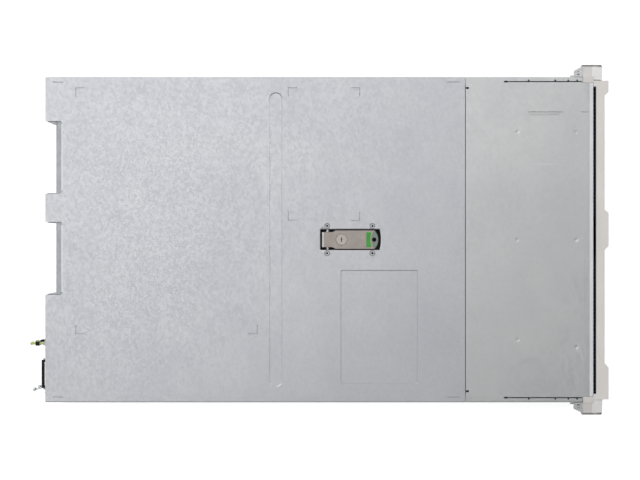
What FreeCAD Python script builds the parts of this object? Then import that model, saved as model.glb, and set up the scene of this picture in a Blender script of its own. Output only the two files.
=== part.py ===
import FreeCAD, Part
import os

# Two-unit rack server, all sizes in millimetres.
# X points to the viewer's right when facing the front, Y from the front to the rear, Z up.
# Z 0 is the underside of the chassis pan and the origin is the middle of that underside.

# Envelope
BODY_W = 448.0
BODY_L = 754.4
BODY_H = 87.0
SHEET = 1.2
FIT = 0.3
RUN = 0.05
HALF_W = BODY_W / 2
FRONT_Y = -BODY_L / 2
REAR_Y = BODY_L / 2
LID_Z = BODY_H - SHEET
WALL_OUT = HALF_W - SHEET - FIT
WALL_IN = WALL_OUT - SHEET
REAR_WALL_Y = REAR_Y - SHEET - FIT

# Top cover and the fixed panel in front of it
COVER_FRONT_Y = FRONT_Y + 176.8
JOINT_GAP = 0.6
FLANGE_H = 14.0
CORNER_CUT = 3.5
NOTCH_DEPTH = 22.0
NOTCH_W = BODY_W * 0.2228
NOTCH_MIDS = (BODY_W * 0.2528, -BODY_W * 0.0573)
NOTCHES = [(mid - NOTCH_W / 2, mid + NOTCH_W / 2) for mid in NOTCH_MIDS]
NOTCH_R = 4.0
DEBOSS = 0.5
RIB_X = HALF_W - 21.35
RIB_Y = COVER_FRONT_Y + 251.4
RIB_W = 18.0
WELL_X = 14.3
LABEL_X = (-HALF_W + 26.0, -WELL_X - 26.9)
LABEL_Y = (COVER_FRONT_Y + 65.6, COVER_FRONT_Y + 172.0)
SLIT_X = HALF_W - 6.6
SLIT_W = 1.8
SLIT_Y = (FRONT_Y + 15.9, FRONT_Y + 123.2)
KEY_SLOT_X = HALF_W - 15.0
LEDGE_W = 9.0

# Cover latch
WELL_REAR_Y = COVER_FRONT_Y + 199.4
WELL_CORNER_Y = WELL_REAR_Y - 81.8
WELL_TIP_Y = WELL_CORNER_Y - 1.9
WELL_WALL = 1.2
WELL_FLOOR_Z = BODY_H - 17.0
RIM_T = 1.4
PIN_Y = WELL_REAR_Y - 10.2
PIN_Z = BODY_H - 5.5
PIN_R = 1.5
LEVER_TOP_Z = BODY_H - 0.6
LEVER_LOW_Z = BODY_H - 8.5
LEVER_REAR_Y = WELL_REAR_Y - 2.5
LEVER_NECK_X = 10.3
LEVER_NECK_Y = WELL_REAR_Y - 16.5
LEVER_X = WELL_X - 1.7
LEVER_WIDE_Y = LEVER_NECK_Y - 5.0
LEVER_SHOULDER_Y = WELL_REAR_Y - 74.8
LEVER_TIP_Y = WELL_REAR_Y - 79.9
LOCK_Y = WELL_REAR_Y - 29.4
LOCK_R = 7.5
GRIP_Y = (WELL_REAR_Y - 70.4, WELL_REAR_Y - 63.5)
GRIP_X = 10.2
GRIP_BOW = 1.5
GRIP_DEEP = 4.0
DISH_R = 21.3
DISH_Y = WELL_REAR_Y - 70.7
DISH_DEEP = 0.8
TIP_HOLE_Y = WELL_REAR_Y - 74.5
TIP_HOLE_R = 3.0
RIVET_X = WELL_X + 5.4
RIVET_YS = (WELL_REAR_Y - 71.9, WELL_REAR_Y - 9.6)
RIVET_R = 2.0
RIVET_BORE_R = 1.0
RIVET_SINK_R = 3.6

# Drive bays: twenty-four upright two-and-a-half inch bays
BAYS = 24
BAY_PITCH = (BODY_W - 66.4) / BAYS
BAY_MID_X = 13.6
CAGE_FRONT_Y = FRONT_Y - 3.8
CAGE_L = 110.0
CAGE_REAR_Y = CAGE_FRONT_Y + CAGE_L
CAGE_TOP_Z = BODY_H - 6.7
PLATE = 1.0
DIVIDER = 0.8
FACE_GAP = 0.6
DRIVE_T = BAY_PITCH - 6.4
DRIVE_H = CAGE_TOP_Z - 10.45
DRIVE_L = 100.45
FILLED_BAYS = (0, 1, 2, 3)
CAGE_FLOOR_Z = SHEET + PLATE
BAY_X0 = BAY_MID_X - BAYS * BAY_PITCH / 2
BAY_X1 = BAY_MID_X + BAYS * BAY_PITCH / 2
BLANK_L = 42.0

# Front bezel
BEZEL_REAR_Y = CAGE_FRONT_Y
BEZEL_Y = BEZEL_REAR_Y - 11.6
BEZEL_LUG_Y = BEZEL_REAR_Y - 17.1
BEZEL_X = (-HALF_W + 4.0, HALF_W - 5.0)
BEZEL_TOP_Z = BODY_H - 0.5
TOP_RAIL_Z = BODY_H - 7.4
LEFT_LUG_X = (-HALF_W + 48.1, -HALF_W + 54.3)
MID_LUG_X = (-14.3, -8.8, 36.8, 41.6)
RIGHT_LUG_X = (HALF_W - 26.0, HALF_W - 21.0)
VENT_X = (-HALF_W + 11.8, HALF_W - 13.2)
BUTTON_X = -HALF_W + 25.0
POWER_Z = BODY_H - 25.0
POWER_R = 7.0
ID_Z = POWER_Z / 2 + 10.0
ID_R = 4.0
BUTTON_HOLE_DEPTH = 9.0
USB_W = 13.2
USB_Z = (21.0, 26.5)
USB_DEPTH = 13.0
TAG_W = 30.0
TAG_T = 1.4
TAG_L = 78.0
TAG_Z = 8.0
TAG_SLOT_Y = BEZEL_LUG_Y + TAG_L + 11.1

# Rack ears and their slam latches
EAR_X = HALF_W + 17.3
EAR_STEP_X = HALF_W - 4.0
EAR_Y = (BEZEL_REAR_Y - 8.6, BEZEL_REAR_Y + 3.5, BEZEL_REAR_Y + 18.4)
EAR_Z = (0.5, BODY_H - 0.5)
EAR_SLOPE = 1.6
RACK_HOLE_X = HALF_W + 8.55
RACK_HOLE_DZ = (BODY_H - 10.8) / 2
RACK_HOLE_R = 3.3
RACK_HEAD_R = 4.9
LATCH_Z = (13.0, BODY_H - 13.0)
LATCH_PIN_X = HALF_W + 11.4
LATCH_PIN_Y = EAR_Y[0] + 3.6
LATCH_PIN_R = 1.5
HOOK_DZ = 6.35
HOOK_H = 7.0
HOOK_X = (LATCH_PIN_X - 4.2, LATCH_PIN_X + 1.4)
HOOK_CATCH_X = LATCH_PIN_X + 4.5
HOOK_CATCH_Y = EAR_Y[2] + 2.8
HOOK_TIP_Y = HOOK_CATCH_Y + 10.5
GUARD_X = HALF_W + 5.0

# Fans
FAN_COUNT = 6
FAN_PITCH = (BODY_W - 40.0) / FAN_COUNT
FAN_W = FAN_PITCH - 6.0
FAN_H = BODY_H - 25.0
FAN_DEPTH = 38.0
FAN_MID_Y = CAGE_REAR_Y + 91.0
FAN_TOP_Z = BODY_H - 16.0
FAN_MID_Z = FAN_TOP_Z - FAN_H / 2
DUCT_R = min(FAN_W, FAN_H) / 2 - 2.4
HUB_R = 13.0
BLADE_R = DUCT_R - 1.8
BLADE_T = 1.4
BLADE_TURN = 38.0
BLADES = 7
SHAFT_R = 2.0

# Motherboard area
BOARD_Z = 6.0
BOARD_T = 1.6
BOARD_TOP_Z = BOARD_Z + BOARD_T
BOARD_Y = (FAN_MID_Y + 35.0, REAR_Y - 25.2)
BOARD_X = HALF_W - 10.0
DIMM_L = 133.35
DIMM_H = 31.25
DIMM_T = 3.6
DIMM_PITCH = 7.2
DIMM_INNER_X = 14.3
DIMM_GAP = 7.5
INNER_DIMMS = 7
OUTER_DIMMS = 8
SOCKET_H = 8.0
SINK_W = HALF_W - 144.0
SINK_L = 110.0
SINK_TOP_Z = BODY_H - 19.0
CPU_X = DIMM_INNER_X + (INNER_DIMMS - 1) * DIMM_PITCH + DIMM_GAP + SINK_W / 2
CPU_EDGE = 110.0
CPU_Y = BOARD_Y[0] + CPU_EDGE
CPU_SOCKET_H = 4.5
FINS = 26
FIN_T = 0.8
BAFFLE_T = 1.5
BAFFLE_TOP_Z = BODY_H - 17.2

# Power supplies
PSU_W = 84.0
PSU_H = (BODY_H - 8.0) / 2
PSU_L = 190.0
PSU_REAR_Y = REAR_Y - 0.7
PSU_FRONT_Y = PSU_REAR_Y - PSU_L
PSU_SIDE_GAP = 0.3
CAGE_T = 0.8
PSU_X0 = -WALL_IN + CAGE_T + PSU_SIDE_GAP
PSU_X1 = PSU_X0 + PSU_W
PSU_Z = (CAGE_FLOOR_Z, CAGE_FLOOR_Z + PSU_H + FIT + PLATE)
HANDLE_X = (PSU_X0 + 15.4, PSU_X0 + 54.0)
HANDLE_REACH = 12.5
HANDLE_Z = 11.0
HANDLE_ARM = 3.2
INLET_X = PSU_X0 + 33.7
INLET_W = 27.0
INLET_H = 19.5
INLET_Z = 12.75 - PSU_H / 2
INLET_DEPTH = 16.0
RELEASE_X = PSU_X0 + 76.2
RELEASE_REACH = 28.0
CLIP_X = PSU_X0 + 10.7
CLIP_REACH = 25.0
CLIP_KNOB_R = 2.6
PIVOT_OFF = 3.2

# Risers, rear wall and rear ports
RISER_FACE_Y = REAR_Y - 16.2
RISER_FRONT_Y = RISER_FACE_Y - 156.0
RISER_LOW_Z = 27.0
RISER_TOP_Z = BODY_H - 2.5
SLOT_PITCH = (RISER_TOP_Z - RISER_LOW_Z - 3.5) / 3
SLOT_ZS = [RISER_LOW_Z + 7.0 + k * SLOT_PITCH for k in range(3)]
SLOT_H = SLOT_PITCH * 2 / 3
PORT_ROW_TOP_Z = RISER_LOW_Z - 2.5
PORT_ROW_X = (PSU_X1 + 2.2, HALF_W - 23.0)
PORT_WALL = 1.4
# Each port: its place as a share of the row, its width and its height.
PORTS = (
    (0.0478, 31.0, 12.5),
    (0.1254, 14.5, 15.5),
    (0.2030, 17.0, 14.0),
    (0.2627, 17.0, 14.0),
    (0.3224, 17.0, 14.0),
    (0.3821, 17.0, 14.0),
    (0.5313, 16.0, 11.0),
    (0.7104, 31.0, 12.5),
    (0.9672, 16.0, 8.0),
)


def V(x, y, z):
    return FreeCAD.Vector(x, y, z)


def box(x0, x1, y0, y1, z0, z1):
    return Part.makeBox(x1 - x0, y1 - y0, z1 - z0, V(x0, y0, z0))


def rod(r, start, end):
    a, b = V(*start), V(*end)
    return Part.makeCylinder(r, (b - a).Length, a, b - a)


def join(shapes):
    return shapes[0].multiFuse(shapes[1:]).removeSplitter()


def group(shapes):
    return Part.makeCompound(shapes)


def plan(points, z0, z1):
    """Prism over a polygon in the XY plane."""
    wire = Part.makePolygon([V(x, y, z0) for x, y in points] + [V(*points[0], z0)])
    return Part.Face(wire).extrude(V(0, 0, z1 - z0))


def mirror_x(shape):
    return shape.mirror(V(0, 0, 0), V(1, 0, 0))


def upright_edges(shape, x=None, y=None):
    """Edges along Z, optionally only those at the given X or Y."""
    found = []
    for e in shape.Edges:
        if len(e.Vertexes) != 2:
            continue
        a, b = e.Vertexes[0].Point, e.Vertexes[1].Point
        if abs(a.x - b.x) > 0.01 or abs(a.y - b.y) > 0.01:
            continue
        if x is not None and abs(a.x - x) > 0.01:
            continue
        if y is not None and abs(a.y - y) > 0.01:
            continue
        found.append(e)
    return found


def bowed_plan(half_x, y_rear, y_straight, y_tip, z0, z1):
    """Prism with straight sides and a front end that bows outwards."""
    arc = Part.Arc(V(-half_x, y_straight, z0), V(0, y_tip, z0), V(half_x, y_straight, z0))
    edges = [
        arc.toShape(),
        Part.makeLine(V(half_x, y_straight, z0), V(half_x, y_rear, z0)),
        Part.makeLine(V(half_x, y_rear, z0), V(-half_x, y_rear, z0)),
        Part.makeLine(V(-half_x, y_rear, z0), V(-half_x, y_straight, z0)),
    ]
    return Part.Face(Part.Wire(edges)).extrude(V(0, 0, z1 - z0))


# Sheet metal: pan, rear wall, front panel, cover


def standoff(x, y):
    """Hexagonal standoff pressed into the pan."""
    across = 3.5
    points = [(x + across, y), (x + across / 2, y + across), (x - across / 2, y + across),
              (x - across, y), (x - across / 2, y - across), (x + across / 2, y - across)]
    return plan(points, SHEET / 2, BOARD_Z)


def chassis_pan():
    back = REAR_WALL_Y
    parts = [box(-WALL_OUT, WALL_OUT, FRONT_Y, back, 0, SHEET)]
    for s in (-1, 1):
        xs = sorted((s * WALL_IN, s * WALL_OUT))
        parts.append(box(xs[0], xs[1], FRONT_Y, back, 0, LID_Z))
        xs = sorted((s * (WALL_IN - LEDGE_W), s * WALL_IN))
        parts.append(box(xs[0], xs[1], FRONT_Y, PSU_FRONT_Y - 8, LID_Z - SHEET, LID_Z))
    for share in (-0.67, -0.27, 0.18, 0.71):
        for y in (BOARD_Y[0] + 25, PSU_FRONT_Y - 96.5, PSU_FRONT_Y - 21.5):
            parts.append(standoff(share * HALF_W, y))
    return join(parts)


def rear_wall():
    """Wall plates round the power supplies, the port row and the two riser recesses."""
    y0, y1 = REAR_WALL_Y - SHEET, REAR_WALL_Y
    left = PSU_X1 + FIT
    high, low = NOTCHES
    return group([
        box(-WALL_IN, left, y0, y1, PSU_Z[1] + PSU_H + FIT, LID_Z),
        box(left, PORT_ROW_X[0], y0, y1, SHEET, PORT_ROW_TOP_Z),
        box(PORT_ROW_X[1], WALL_IN, y0, y1, SHEET, PORT_ROW_TOP_Z),
        box(left, WALL_IN, y0, y1, PORT_ROW_TOP_Z, RISER_LOW_Z),
        box(left, low[0], y0, y1, RISER_LOW_Z, LID_Z),
        box(low[1], high[0], y0, y1, RISER_LOW_Z, LID_Z),
        box(high[1], WALL_IN, y0, y1, RISER_LOW_Z, LID_Z),
    ])


def front_top_panel():
    rear = COVER_FRONT_Y - JOINT_GAP
    lip_x = WALL_IN - LEDGE_W - 1
    stiffener = rear - 8
    panel = join([
        box(-HALF_W, HALF_W, FRONT_Y, rear, LID_Z, BODY_H),
        box(-HALF_W, -HALF_W + SHEET, FRONT_Y, rear, BODY_H - FLANGE_H, BODY_H),
        box(HALF_W - SHEET, HALF_W, FRONT_Y, rear, BODY_H - FLANGE_H, BODY_H),
        box(-lip_x, lip_x, FRONT_Y, FRONT_Y + SHEET, BODY_H - 4.5, BODY_H),
        box(-lip_x, lip_x, stiffener, stiffener + SHEET, BODY_H - 11, BODY_H),
    ])
    bend = [e for e in panel.Edges if abs(e.BoundBox.YMin - FRONT_Y) < 0.01
            and e.BoundBox.YLength < 0.01 and e.BoundBox.ZMin > BODY_H - 0.01 and e.Length > HALF_W]
    panel = panel.makeFillet(1.0, bend)
    cuts = []
    for s in (-1, 1):
        x = s * SLIT_X
        cuts.append(box(x - SLIT_W / 2, x + SLIT_W / 2, SLIT_Y[0], SLIT_Y[1], LID_Z - 5, BODY_H + 1))
    return panel.cut(group(cuts))


def vent_strip():
    """Dark seal in the gap between the front panel and the bezel, on the drive cage."""
    return box(VENT_X[0], VENT_X[1], CAGE_FRONT_Y + FIT, FRONT_Y - FIT, CAGE_TOP_Z + PLATE, BODY_H - 3.0)


def cover_plan(z0, z1):
    return plan([
        (-HALF_W, COVER_FRONT_Y), (HALF_W, COVER_FRONT_Y),
        (HALF_W, REAR_Y - CORNER_CUT), (HALF_W - CORNER_CUT, REAR_Y),
        (-HALF_W + CORNER_CUT, REAR_Y), (-HALF_W, REAR_Y - CORNER_CUT),
    ], z0, z1)


def notch_cut(x0, x1):
    cut = box(x0, x1, REAR_Y - NOTCH_DEPTH, REAR_Y + 5, BODY_H - 30, BODY_H + 5)
    return cut.makeFillet(NOTCH_R, upright_edges(cut, y=REAR_Y - NOTCH_DEPTH))


def pressed_field(x0, x1, y0, y1, corner):
    """Boss below the sheet and the cut above it that together press a field down by DEBOSS."""
    low = box(x0 - 1, x1 + 1, y0 - 1, y1 + 1, LID_Z - DEBOSS, LID_Z + 0.2)
    high = box(x0, x1, y0, y1, BODY_H - DEBOSS, BODY_H + 2)
    return low, high.makeFillet(corner, upright_edges(high))


def top_cover():
    hem = REAR_Y - CORNER_CUT - 0.5
    under = BODY_H - 0.2
    rib_low, rib = pressed_field(-RIB_X, RIB_X, RIB_Y, RIB_Y + RIB_W, RIB_W / 2 - 1)
    label_low, label = pressed_field(LABEL_X[0], LABEL_X[1], LABEL_Y[0], LABEL_Y[1], 2.5)
    cover = join([
        cover_plan(LID_Z, BODY_H), rib_low, label_low,
        box(-HALF_W, -HALF_W + SHEET, COVER_FRONT_Y, hem, BODY_H - FLANGE_H, under),
        box(HALF_W - SHEET, HALF_W, COVER_FRONT_Y, hem, BODY_H - FLANGE_H, under),
        box(-HALF_W + 5, HALF_W - 5, REAR_Y - SHEET, REAR_Y, BODY_H - 3.8, under),
    ])
    cuts = [rib, label] + [notch_cut(x0, x1) for x0, x1 in NOTCHES]
    cuts.append(bowed_plan(WELL_X, WELL_REAR_Y, WELL_CORNER_Y, WELL_TIP_Y, LID_Z - 5, BODY_H + 5))
    for s in (-1, 1):
        for y in RIVET_YS:
            x = s * RIVET_X
            cuts.append(rod(RIVET_R, (x, y, LID_Z - 2), (x, y, BODY_H + 1)))
            cuts.append(Part.makeCone(RIVET_R, RIVET_SINK_R, 1.0, V(x, y, BODY_H - 1.0), V(0, 0, 1)))
        x = s * KEY_SLOT_X
        cuts.append(box(x - 1.5, x + 1.5, COVER_FRONT_Y - 1, COVER_FRONT_Y + 3.5, LID_Z - 1, BODY_H + 1))
    return cover.cut(group(cuts))


# Cover latch


def latch_well():
    w = WELL_WALL
    outer = bowed_plan(WELL_X + w, WELL_REAR_Y + w, WELL_CORNER_Y, WELL_TIP_Y - w, WELL_FLOOR_Z, LID_Z)
    rim = box(-RIVET_X - 4.5, RIVET_X + 4.5, WELL_TIP_Y - 5.5, WELL_REAR_Y + 5, LID_Z - RIM_T, LID_Z)
    rim = rim.makeFillet(4.0, upright_edges(rim))
    well = join([outer, rim])
    inner = bowed_plan(WELL_X, WELL_REAR_Y, WELL_CORNER_Y, WELL_TIP_Y, WELL_FLOOR_Z + w, LID_Z + 1)
    pin_end = WELL_X * 2
    cuts = [inner, rod(PIN_R, (-pin_end, PIN_Y, PIN_Z), (pin_end, PIN_Y, PIN_Z))]
    for s in (-1, 1):
        for y in RIVET_YS:
            cuts.append(rod(RIVET_R, (s * RIVET_X, y, LID_Z - 3), (s * RIVET_X, y, LID_Z + 1)))
    return well.cut(group(cuts))


def latch_pin():
    x = WELL_X + WELL_WALL
    return rod(PIN_R, (-x, PIN_Y, PIN_Z), (x, PIN_Y, PIN_Z))


def grip_plan(z0, z1):
    """Finger grip: straight at the rear, hollowed at the front."""
    y0, y1 = GRIP_Y
    arc = Part.Arc(V(-GRIP_X, y0, z0), V(0, y0 + GRIP_BOW, z0), V(GRIP_X, y0, z0)).toShape()
    edges = [
        arc,
        Part.makeLine(V(GRIP_X, y0, z0), V(GRIP_X, y1, z0)),
        Part.makeLine(V(GRIP_X, y1, z0), V(-GRIP_X, y1, z0)),
        Part.makeLine(V(-GRIP_X, y1, z0), V(-GRIP_X, y0, z0)),
    ]
    return Part.Face(Part.Wire(edges)).extrude(V(0, 0, z1 - z0))


def latch_lever():
    z0, z1 = LEVER_LOW_Z, LEVER_TOP_Z
    neck = plan([
        (-LEVER_NECK_X, LEVER_REAR_Y), (-LEVER_NECK_X, LEVER_NECK_Y), (-LEVER_X, LEVER_WIDE_Y),
        (-LEVER_X, LEVER_WIDE_Y - 2), (LEVER_X, LEVER_WIDE_Y - 2), (LEVER_X, LEVER_WIDE_Y),
        (LEVER_NECK_X, LEVER_NECK_Y), (LEVER_NECK_X, LEVER_REAR_Y),
    ], z0, z1)
    blade = bowed_plan(LEVER_X, LEVER_WIDE_Y - 1, LEVER_SHOULDER_Y, LEVER_TIP_Y, z0, z1)
    lever = join([neck, blade])
    tail = [e for e in lever.Edges if abs(e.BoundBox.YMax - LEVER_REAR_Y) < 0.01
            and e.BoundBox.YLength < 0.01 and e.BoundBox.ZLength < 0.01]
    lever = lever.makeFillet(2.5, tail)
    dish_mid = DISH_Y - DISH_R
    cuts = [
        rod(PIN_R + RUN, (-WELL_X, PIN_Y, PIN_Z), (WELL_X, PIN_Y, PIN_Z)),
        rod(LOCK_R + RUN, (0, LOCK_Y, z0 + 2.0), (0, LOCK_Y, z1 + 1)),
        rod(TIP_HOLE_R, (0, TIP_HOLE_Y, z0 - 1), (0, TIP_HOLE_Y, z1 + 1)),
        rod(DISH_R, (0, dish_mid, z1 - DISH_DEEP), (0, dish_mid, z1 + 1)),
        grip_plan(z1 - GRIP_DEEP, z1 + 1),
    ]
    return lever.cut(group(cuts))


def latch_grip():
    return grip_plan(LEVER_TOP_Z - GRIP_DEEP, LEVER_TOP_Z + 0.4)


def latch_lock_screw():
    """Quarter-turn lock with a short screwdriver slot."""
    head = rod(LOCK_R, (0, LOCK_Y, LEVER_LOW_Z + 2.0), (0, LOCK_Y, LEVER_TOP_Z + 0.3))
    half_slot = 3.4
    slot = box(-half_slot, half_slot, LOCK_Y - 0.5, LOCK_Y + 0.5, LEVER_TOP_Z - 1.6, LEVER_TOP_Z + 1)
    return head.cut(slot)


def latch_rivets():
    """Four tubular rivets that hold the well under the cover."""
    solids = []
    tail_z = LID_Z - RIM_T
    for s in (-1, 1):
        for y in RIVET_YS:
            x = s * RIVET_X
            shank = rod(RIVET_R, (x, y, tail_z), (x, y, BODY_H - 0.9))
            tail = rod(RIVET_R + 0.9, (x, y, tail_z - 1.2), (x, y, tail_z))
            bore = rod(RIVET_BORE_R, (x, y, tail_z - 2), (x, y, BODY_H))
            solids.append(join([shank, tail]).cut(bore))
    return group(solids)


# Front: bezel, buttons, tag, ears


def front_bezel():
    x0, x1 = BEZEL_X
    post_left = BAY_X0 - 0.4
    post_right = BAY_X1 + 0.4
    lap = BEZEL_REAR_Y - 1
    rail = plan([
        (x0, BEZEL_REAR_Y), (x0, BEZEL_LUG_Y), (LEFT_LUG_X[0], BEZEL_LUG_Y),
        (LEFT_LUG_X[1], BEZEL_Y), (MID_LUG_X[0], BEZEL_Y), (MID_LUG_X[1], BEZEL_LUG_Y),
        (MID_LUG_X[2], BEZEL_LUG_Y), (MID_LUG_X[3], BEZEL_Y), (RIGHT_LUG_X[0], BEZEL_Y),
        (RIGHT_LUG_X[1], BEZEL_LUG_Y), (x1, BEZEL_LUG_Y), (x1, BEZEL_REAR_Y),
    ], TOP_RAIL_Z, BEZEL_TOP_Z)
    tag_x0, tag_x1 = BUTTON_X - TAG_W / 2, BUTTON_X + TAG_W / 2
    bezel = join([
        rail,
        box(x0, post_left, BEZEL_LUG_Y, BEZEL_REAR_Y, EAR_Z[0], BEZEL_TOP_Z),
        box(post_right, x1, BEZEL_LUG_Y, BEZEL_REAR_Y, EAR_Z[0], BEZEL_TOP_Z),
        box(x0, VENT_X[0], lap, FRONT_Y, EAR_Z[0], BEZEL_TOP_Z),
        box(VENT_X[1], x1, lap, FRONT_Y, EAR_Z[0], BEZEL_TOP_Z),
        box(x0, x1, BEZEL_Y, BEZEL_REAR_Y, 0.0, CAGE_FLOOR_Z),
        box(x0, x1, lap, FRONT_Y, 0.0, SHEET),
        box(tag_x0 - 2, tag_x1 + 2, lap, TAG_SLOT_Y + 1, TAG_Z - 2.5, TAG_Z + TAG_T + 2.5),
    ])
    long_edges = [e for e in bezel.Edges if e.BoundBox.YLength < 0.01 and e.BoundBox.ZMin > BEZEL_TOP_Z - 0.01
                  and e.BoundBox.XLength > 10 and e.BoundBox.YMax < BEZEL_Y + 0.01]
    bezel = bezel.makeFillet(1.2, long_edges)
    tag_gap = 0.15
    face, hole_end = BEZEL_LUG_Y - 1, BEZEL_LUG_Y + BUTTON_HOLE_DEPTH
    cuts = [
        rod(POWER_R + RUN, (BUTTON_X, face, POWER_Z), (BUTTON_X, hole_end, POWER_Z)),
        rod(ID_R + RUN, (BUTTON_X, face, ID_Z), (BUTTON_X, hole_end, ID_Z)),
        box(tag_x0 - tag_gap, tag_x1 + tag_gap, face, TAG_SLOT_Y, TAG_Z, TAG_Z + TAG_T + tag_gap),
        box(BUTTON_X - USB_W / 2, BUTTON_X + USB_W / 2, face, BEZEL_LUG_Y + USB_DEPTH, USB_Z[0], USB_Z[1]),
    ]
    return bezel.cut(group(cuts))


def push_button(r, z):
    """Button with a bevelled rim; it travels into a blind hole of the bezel."""
    y0, y1 = BEZEL_LUG_Y - 0.8, BEZEL_LUG_Y + BUTTON_HOLE_DEPTH - 2.0
    cap = rod(r, (BUTTON_X, y0, z), (BUTTON_X, y1, z))
    rim = [e for e in cap.Edges if abs(e.BoundBox.YMax - y0) < 0.01]
    return cap.makeChamfer(0.6, rim)


def asset_tag():
    x0, x1 = BUTTON_X - TAG_W / 2, BUTTON_X + TAG_W / 2
    y0 = BEZEL_LUG_Y - 1.0
    return join([
        box(x0, x1, y0, y0 + TAG_L, TAG_Z, TAG_Z + TAG_T),
        box(x0, x1, y0 - 1.6, y0 + 0.2, TAG_Z - 1.0, TAG_Z + TAG_T + 1.0),
    ])


def right_ear():
    """Moulded ear: its front half slopes, a pocket holds the latch plate, a slot lets the hooks through."""
    y0, y1, y2 = EAR_Y
    z0, z1 = EAR_Z
    crease = y1 + 2.2
    ear = join([
        box(EAR_STEP_X, EAR_X, y0, y1, z0, z1),
        box(HALF_W, EAR_X, y1 - 1, y2, z0, z1),
    ])
    wedge = Part.Face(Part.makePolygon([
        V(EAR_STEP_X - 1, crease, z1), V(EAR_STEP_X - 1, y0 - 1, z1 - EAR_SLOPE),
        V(EAR_STEP_X - 1, y0 - 1, z1 + 1), V(EAR_STEP_X - 1, crease, z1 + 1), V(EAR_STEP_X - 1, crease, z1),
    ])).extrude(V(EAR_X - EAR_STEP_X + 2, 0, 0))
    ear = ear.cut(wedge)
    mid = BODY_H / 2
    reach = HOOK_DZ + HOOK_H / 2 + 1.1
    guards = [
        box(HALF_W, GUARD_X, y2 - 1, HOOK_TIP_Y, mid + reach + 1.0, mid + reach + 4.0),
        box(HALF_W, GUARD_X, y2 - 1, HOOK_TIP_Y, mid - reach - 4.0, mid - reach - 1.0),
    ]
    ear = join([ear] + guards)
    pocket_y = LATCH_PIN_Y + 5.5
    cuts = [
        box(HALF_W - 1.4, HALF_W + 14.8, y0 - 1, pocket_y, LATCH_Z[0], LATCH_Z[1]),
        box(HALF_W + 0.7, HALF_W + 13.6, pocket_y - 0.5, y2 + 1, mid - reach, mid + reach),
    ]
    for dz in (-RACK_HOLE_DZ, RACK_HOLE_DZ):
        z = mid + dz
        cuts.append(rod(RACK_HOLE_R, (RACK_HOLE_X, y0 - 1, z), (RACK_HOLE_X, y2 + 1, z)))
        cuts.append(rod(RACK_HEAD_R, (RACK_HOLE_X, y0 - 1, z), (RACK_HOLE_X, y1, z)))
    ear = ear.cut(group(cuts))
    pin = rod(LATCH_PIN_R, (LATCH_PIN_X, LATCH_PIN_Y, LATCH_Z[0] - 1),
              (LATCH_PIN_X, LATCH_PIN_Y, LATCH_Z[1] + 1))
    return join([ear, pin])


def right_slam_latch():
    """Finger plate in the ear's pocket with two hooks that pass the post's square holes."""
    px, py = LATCH_PIN_X, LATCH_PIN_Y
    z0, z1 = LATCH_Z[0] + 0.6, LATCH_Z[1] - 0.6
    plate = box(px - 12.2, px + 2.6, py - 2.6, py + 2.4, z0, z1)
    parts = [plate.makeFillet(2.4, upright_edges(plate, x=px + 2.6, y=py - 2.6))]
    for dz in (-HOOK_DZ, HOOK_DZ):
        low = BODY_H / 2 + dz - HOOK_H / 2
        parts.append(box(HOOK_X[0], HOOK_X[1], py + 1.0, HOOK_CATCH_Y + 1, low, low + HOOK_H))
        parts.append(plan([
            (HOOK_X[0], HOOK_CATCH_Y), (HOOK_CATCH_X, HOOK_CATCH_Y), (HOOK_CATCH_X, HOOK_CATCH_Y + 1.5),
            (HOOK_X[0] + 3.0, HOOK_TIP_Y), (HOOK_X[0], HOOK_TIP_Y),
        ], low, low + HOOK_H))
    hole = rod(LATCH_PIN_R + RUN, (px, py, z0 - 1), (px, py, z1 + 1))
    return join(parts).cut(hole)


# Drive bays


def bay_x(i):
    return BAY_X0 + (i + 0.5) * BAY_PITCH


def drive_cage():
    """Floor and top plates with a divider riveted between each pair of bays."""
    x0, x1 = BAY_X0 - DIVIDER / 2, BAY_X1 + DIVIDER / 2
    plates = [
        box(x0, x1, CAGE_FRONT_Y, CAGE_REAR_Y, SHEET, CAGE_FLOOR_Z),
        box(x0, x1, CAGE_FRONT_Y, CAGE_REAR_Y, CAGE_TOP_Z, CAGE_TOP_Z + PLATE),
    ]
    for i in range(BAYS + 1):
        x = BAY_X0 + i * BAY_PITCH
        plates.append(box(x - DIVIDER / 2, x + DIVIDER / 2, CAGE_FRONT_Y, CAGE_REAR_Y, CAGE_FLOOR_Z, CAGE_TOP_Z))
    return group(plates)


def drive_backplane():
    parts = [box(BAY_X0 + 1, BAY_X1 - 1, CAGE_REAR_Y, CAGE_REAR_Y + BOARD_T, SHEET, BODY_H - 8)]
    for i in range(BAYS):
        x = bay_x(i)
        parts.append(box(x - 2.6, x + 2.6, CAGE_REAR_Y - 6.2, CAGE_REAR_Y + 0.5, 24.0, BODY_H - 30))
    for i in range(4):
        x = bay_x(3 + 6 * i)
        parts.append(box(x - 12, x + 12, CAGE_REAR_Y + 1, CAGE_REAR_Y + 9, BODY_H - 27, BODY_H - 19))
    vents = []
    vent_half = BAY_PITCH / 2 - 4.35
    for i in range(1, BAYS):
        x = BAY_X0 + i * BAY_PITCH
        vents.append(box(x - vent_half, x + vent_half, CAGE_REAR_Y - 1, CAGE_REAR_Y + 3, 8.0, BODY_H - 33))
    return join(parts).cut(group(vents))


def tray_front(i):
    x = bay_x(i)
    w = (BAY_PITCH - FACE_GAP) / 2
    return box(x - w, x + w, CAGE_FRONT_Y - 5.0, CAGE_FRONT_Y - 0.4, CAGE_FLOOR_Z + 0.4, TOP_RAIL_Z - 0.4)


def tray_rails(i, length):
    x = bay_x(i)
    half = BAY_PITCH / 2 - 1.15
    y0, y1 = CAGE_FRONT_Y - 0.6, CAGE_FRONT_Y + length
    z0, z1 = CAGE_FLOOR_Z, TOP_RAIL_Z - 0.4
    return [
        box(x - half, x + half, y0, y1, z0, z0 + 1.6),
        box(x - half, x + half, y0, y1, z1 - 1.6, z1),
    ]


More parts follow.
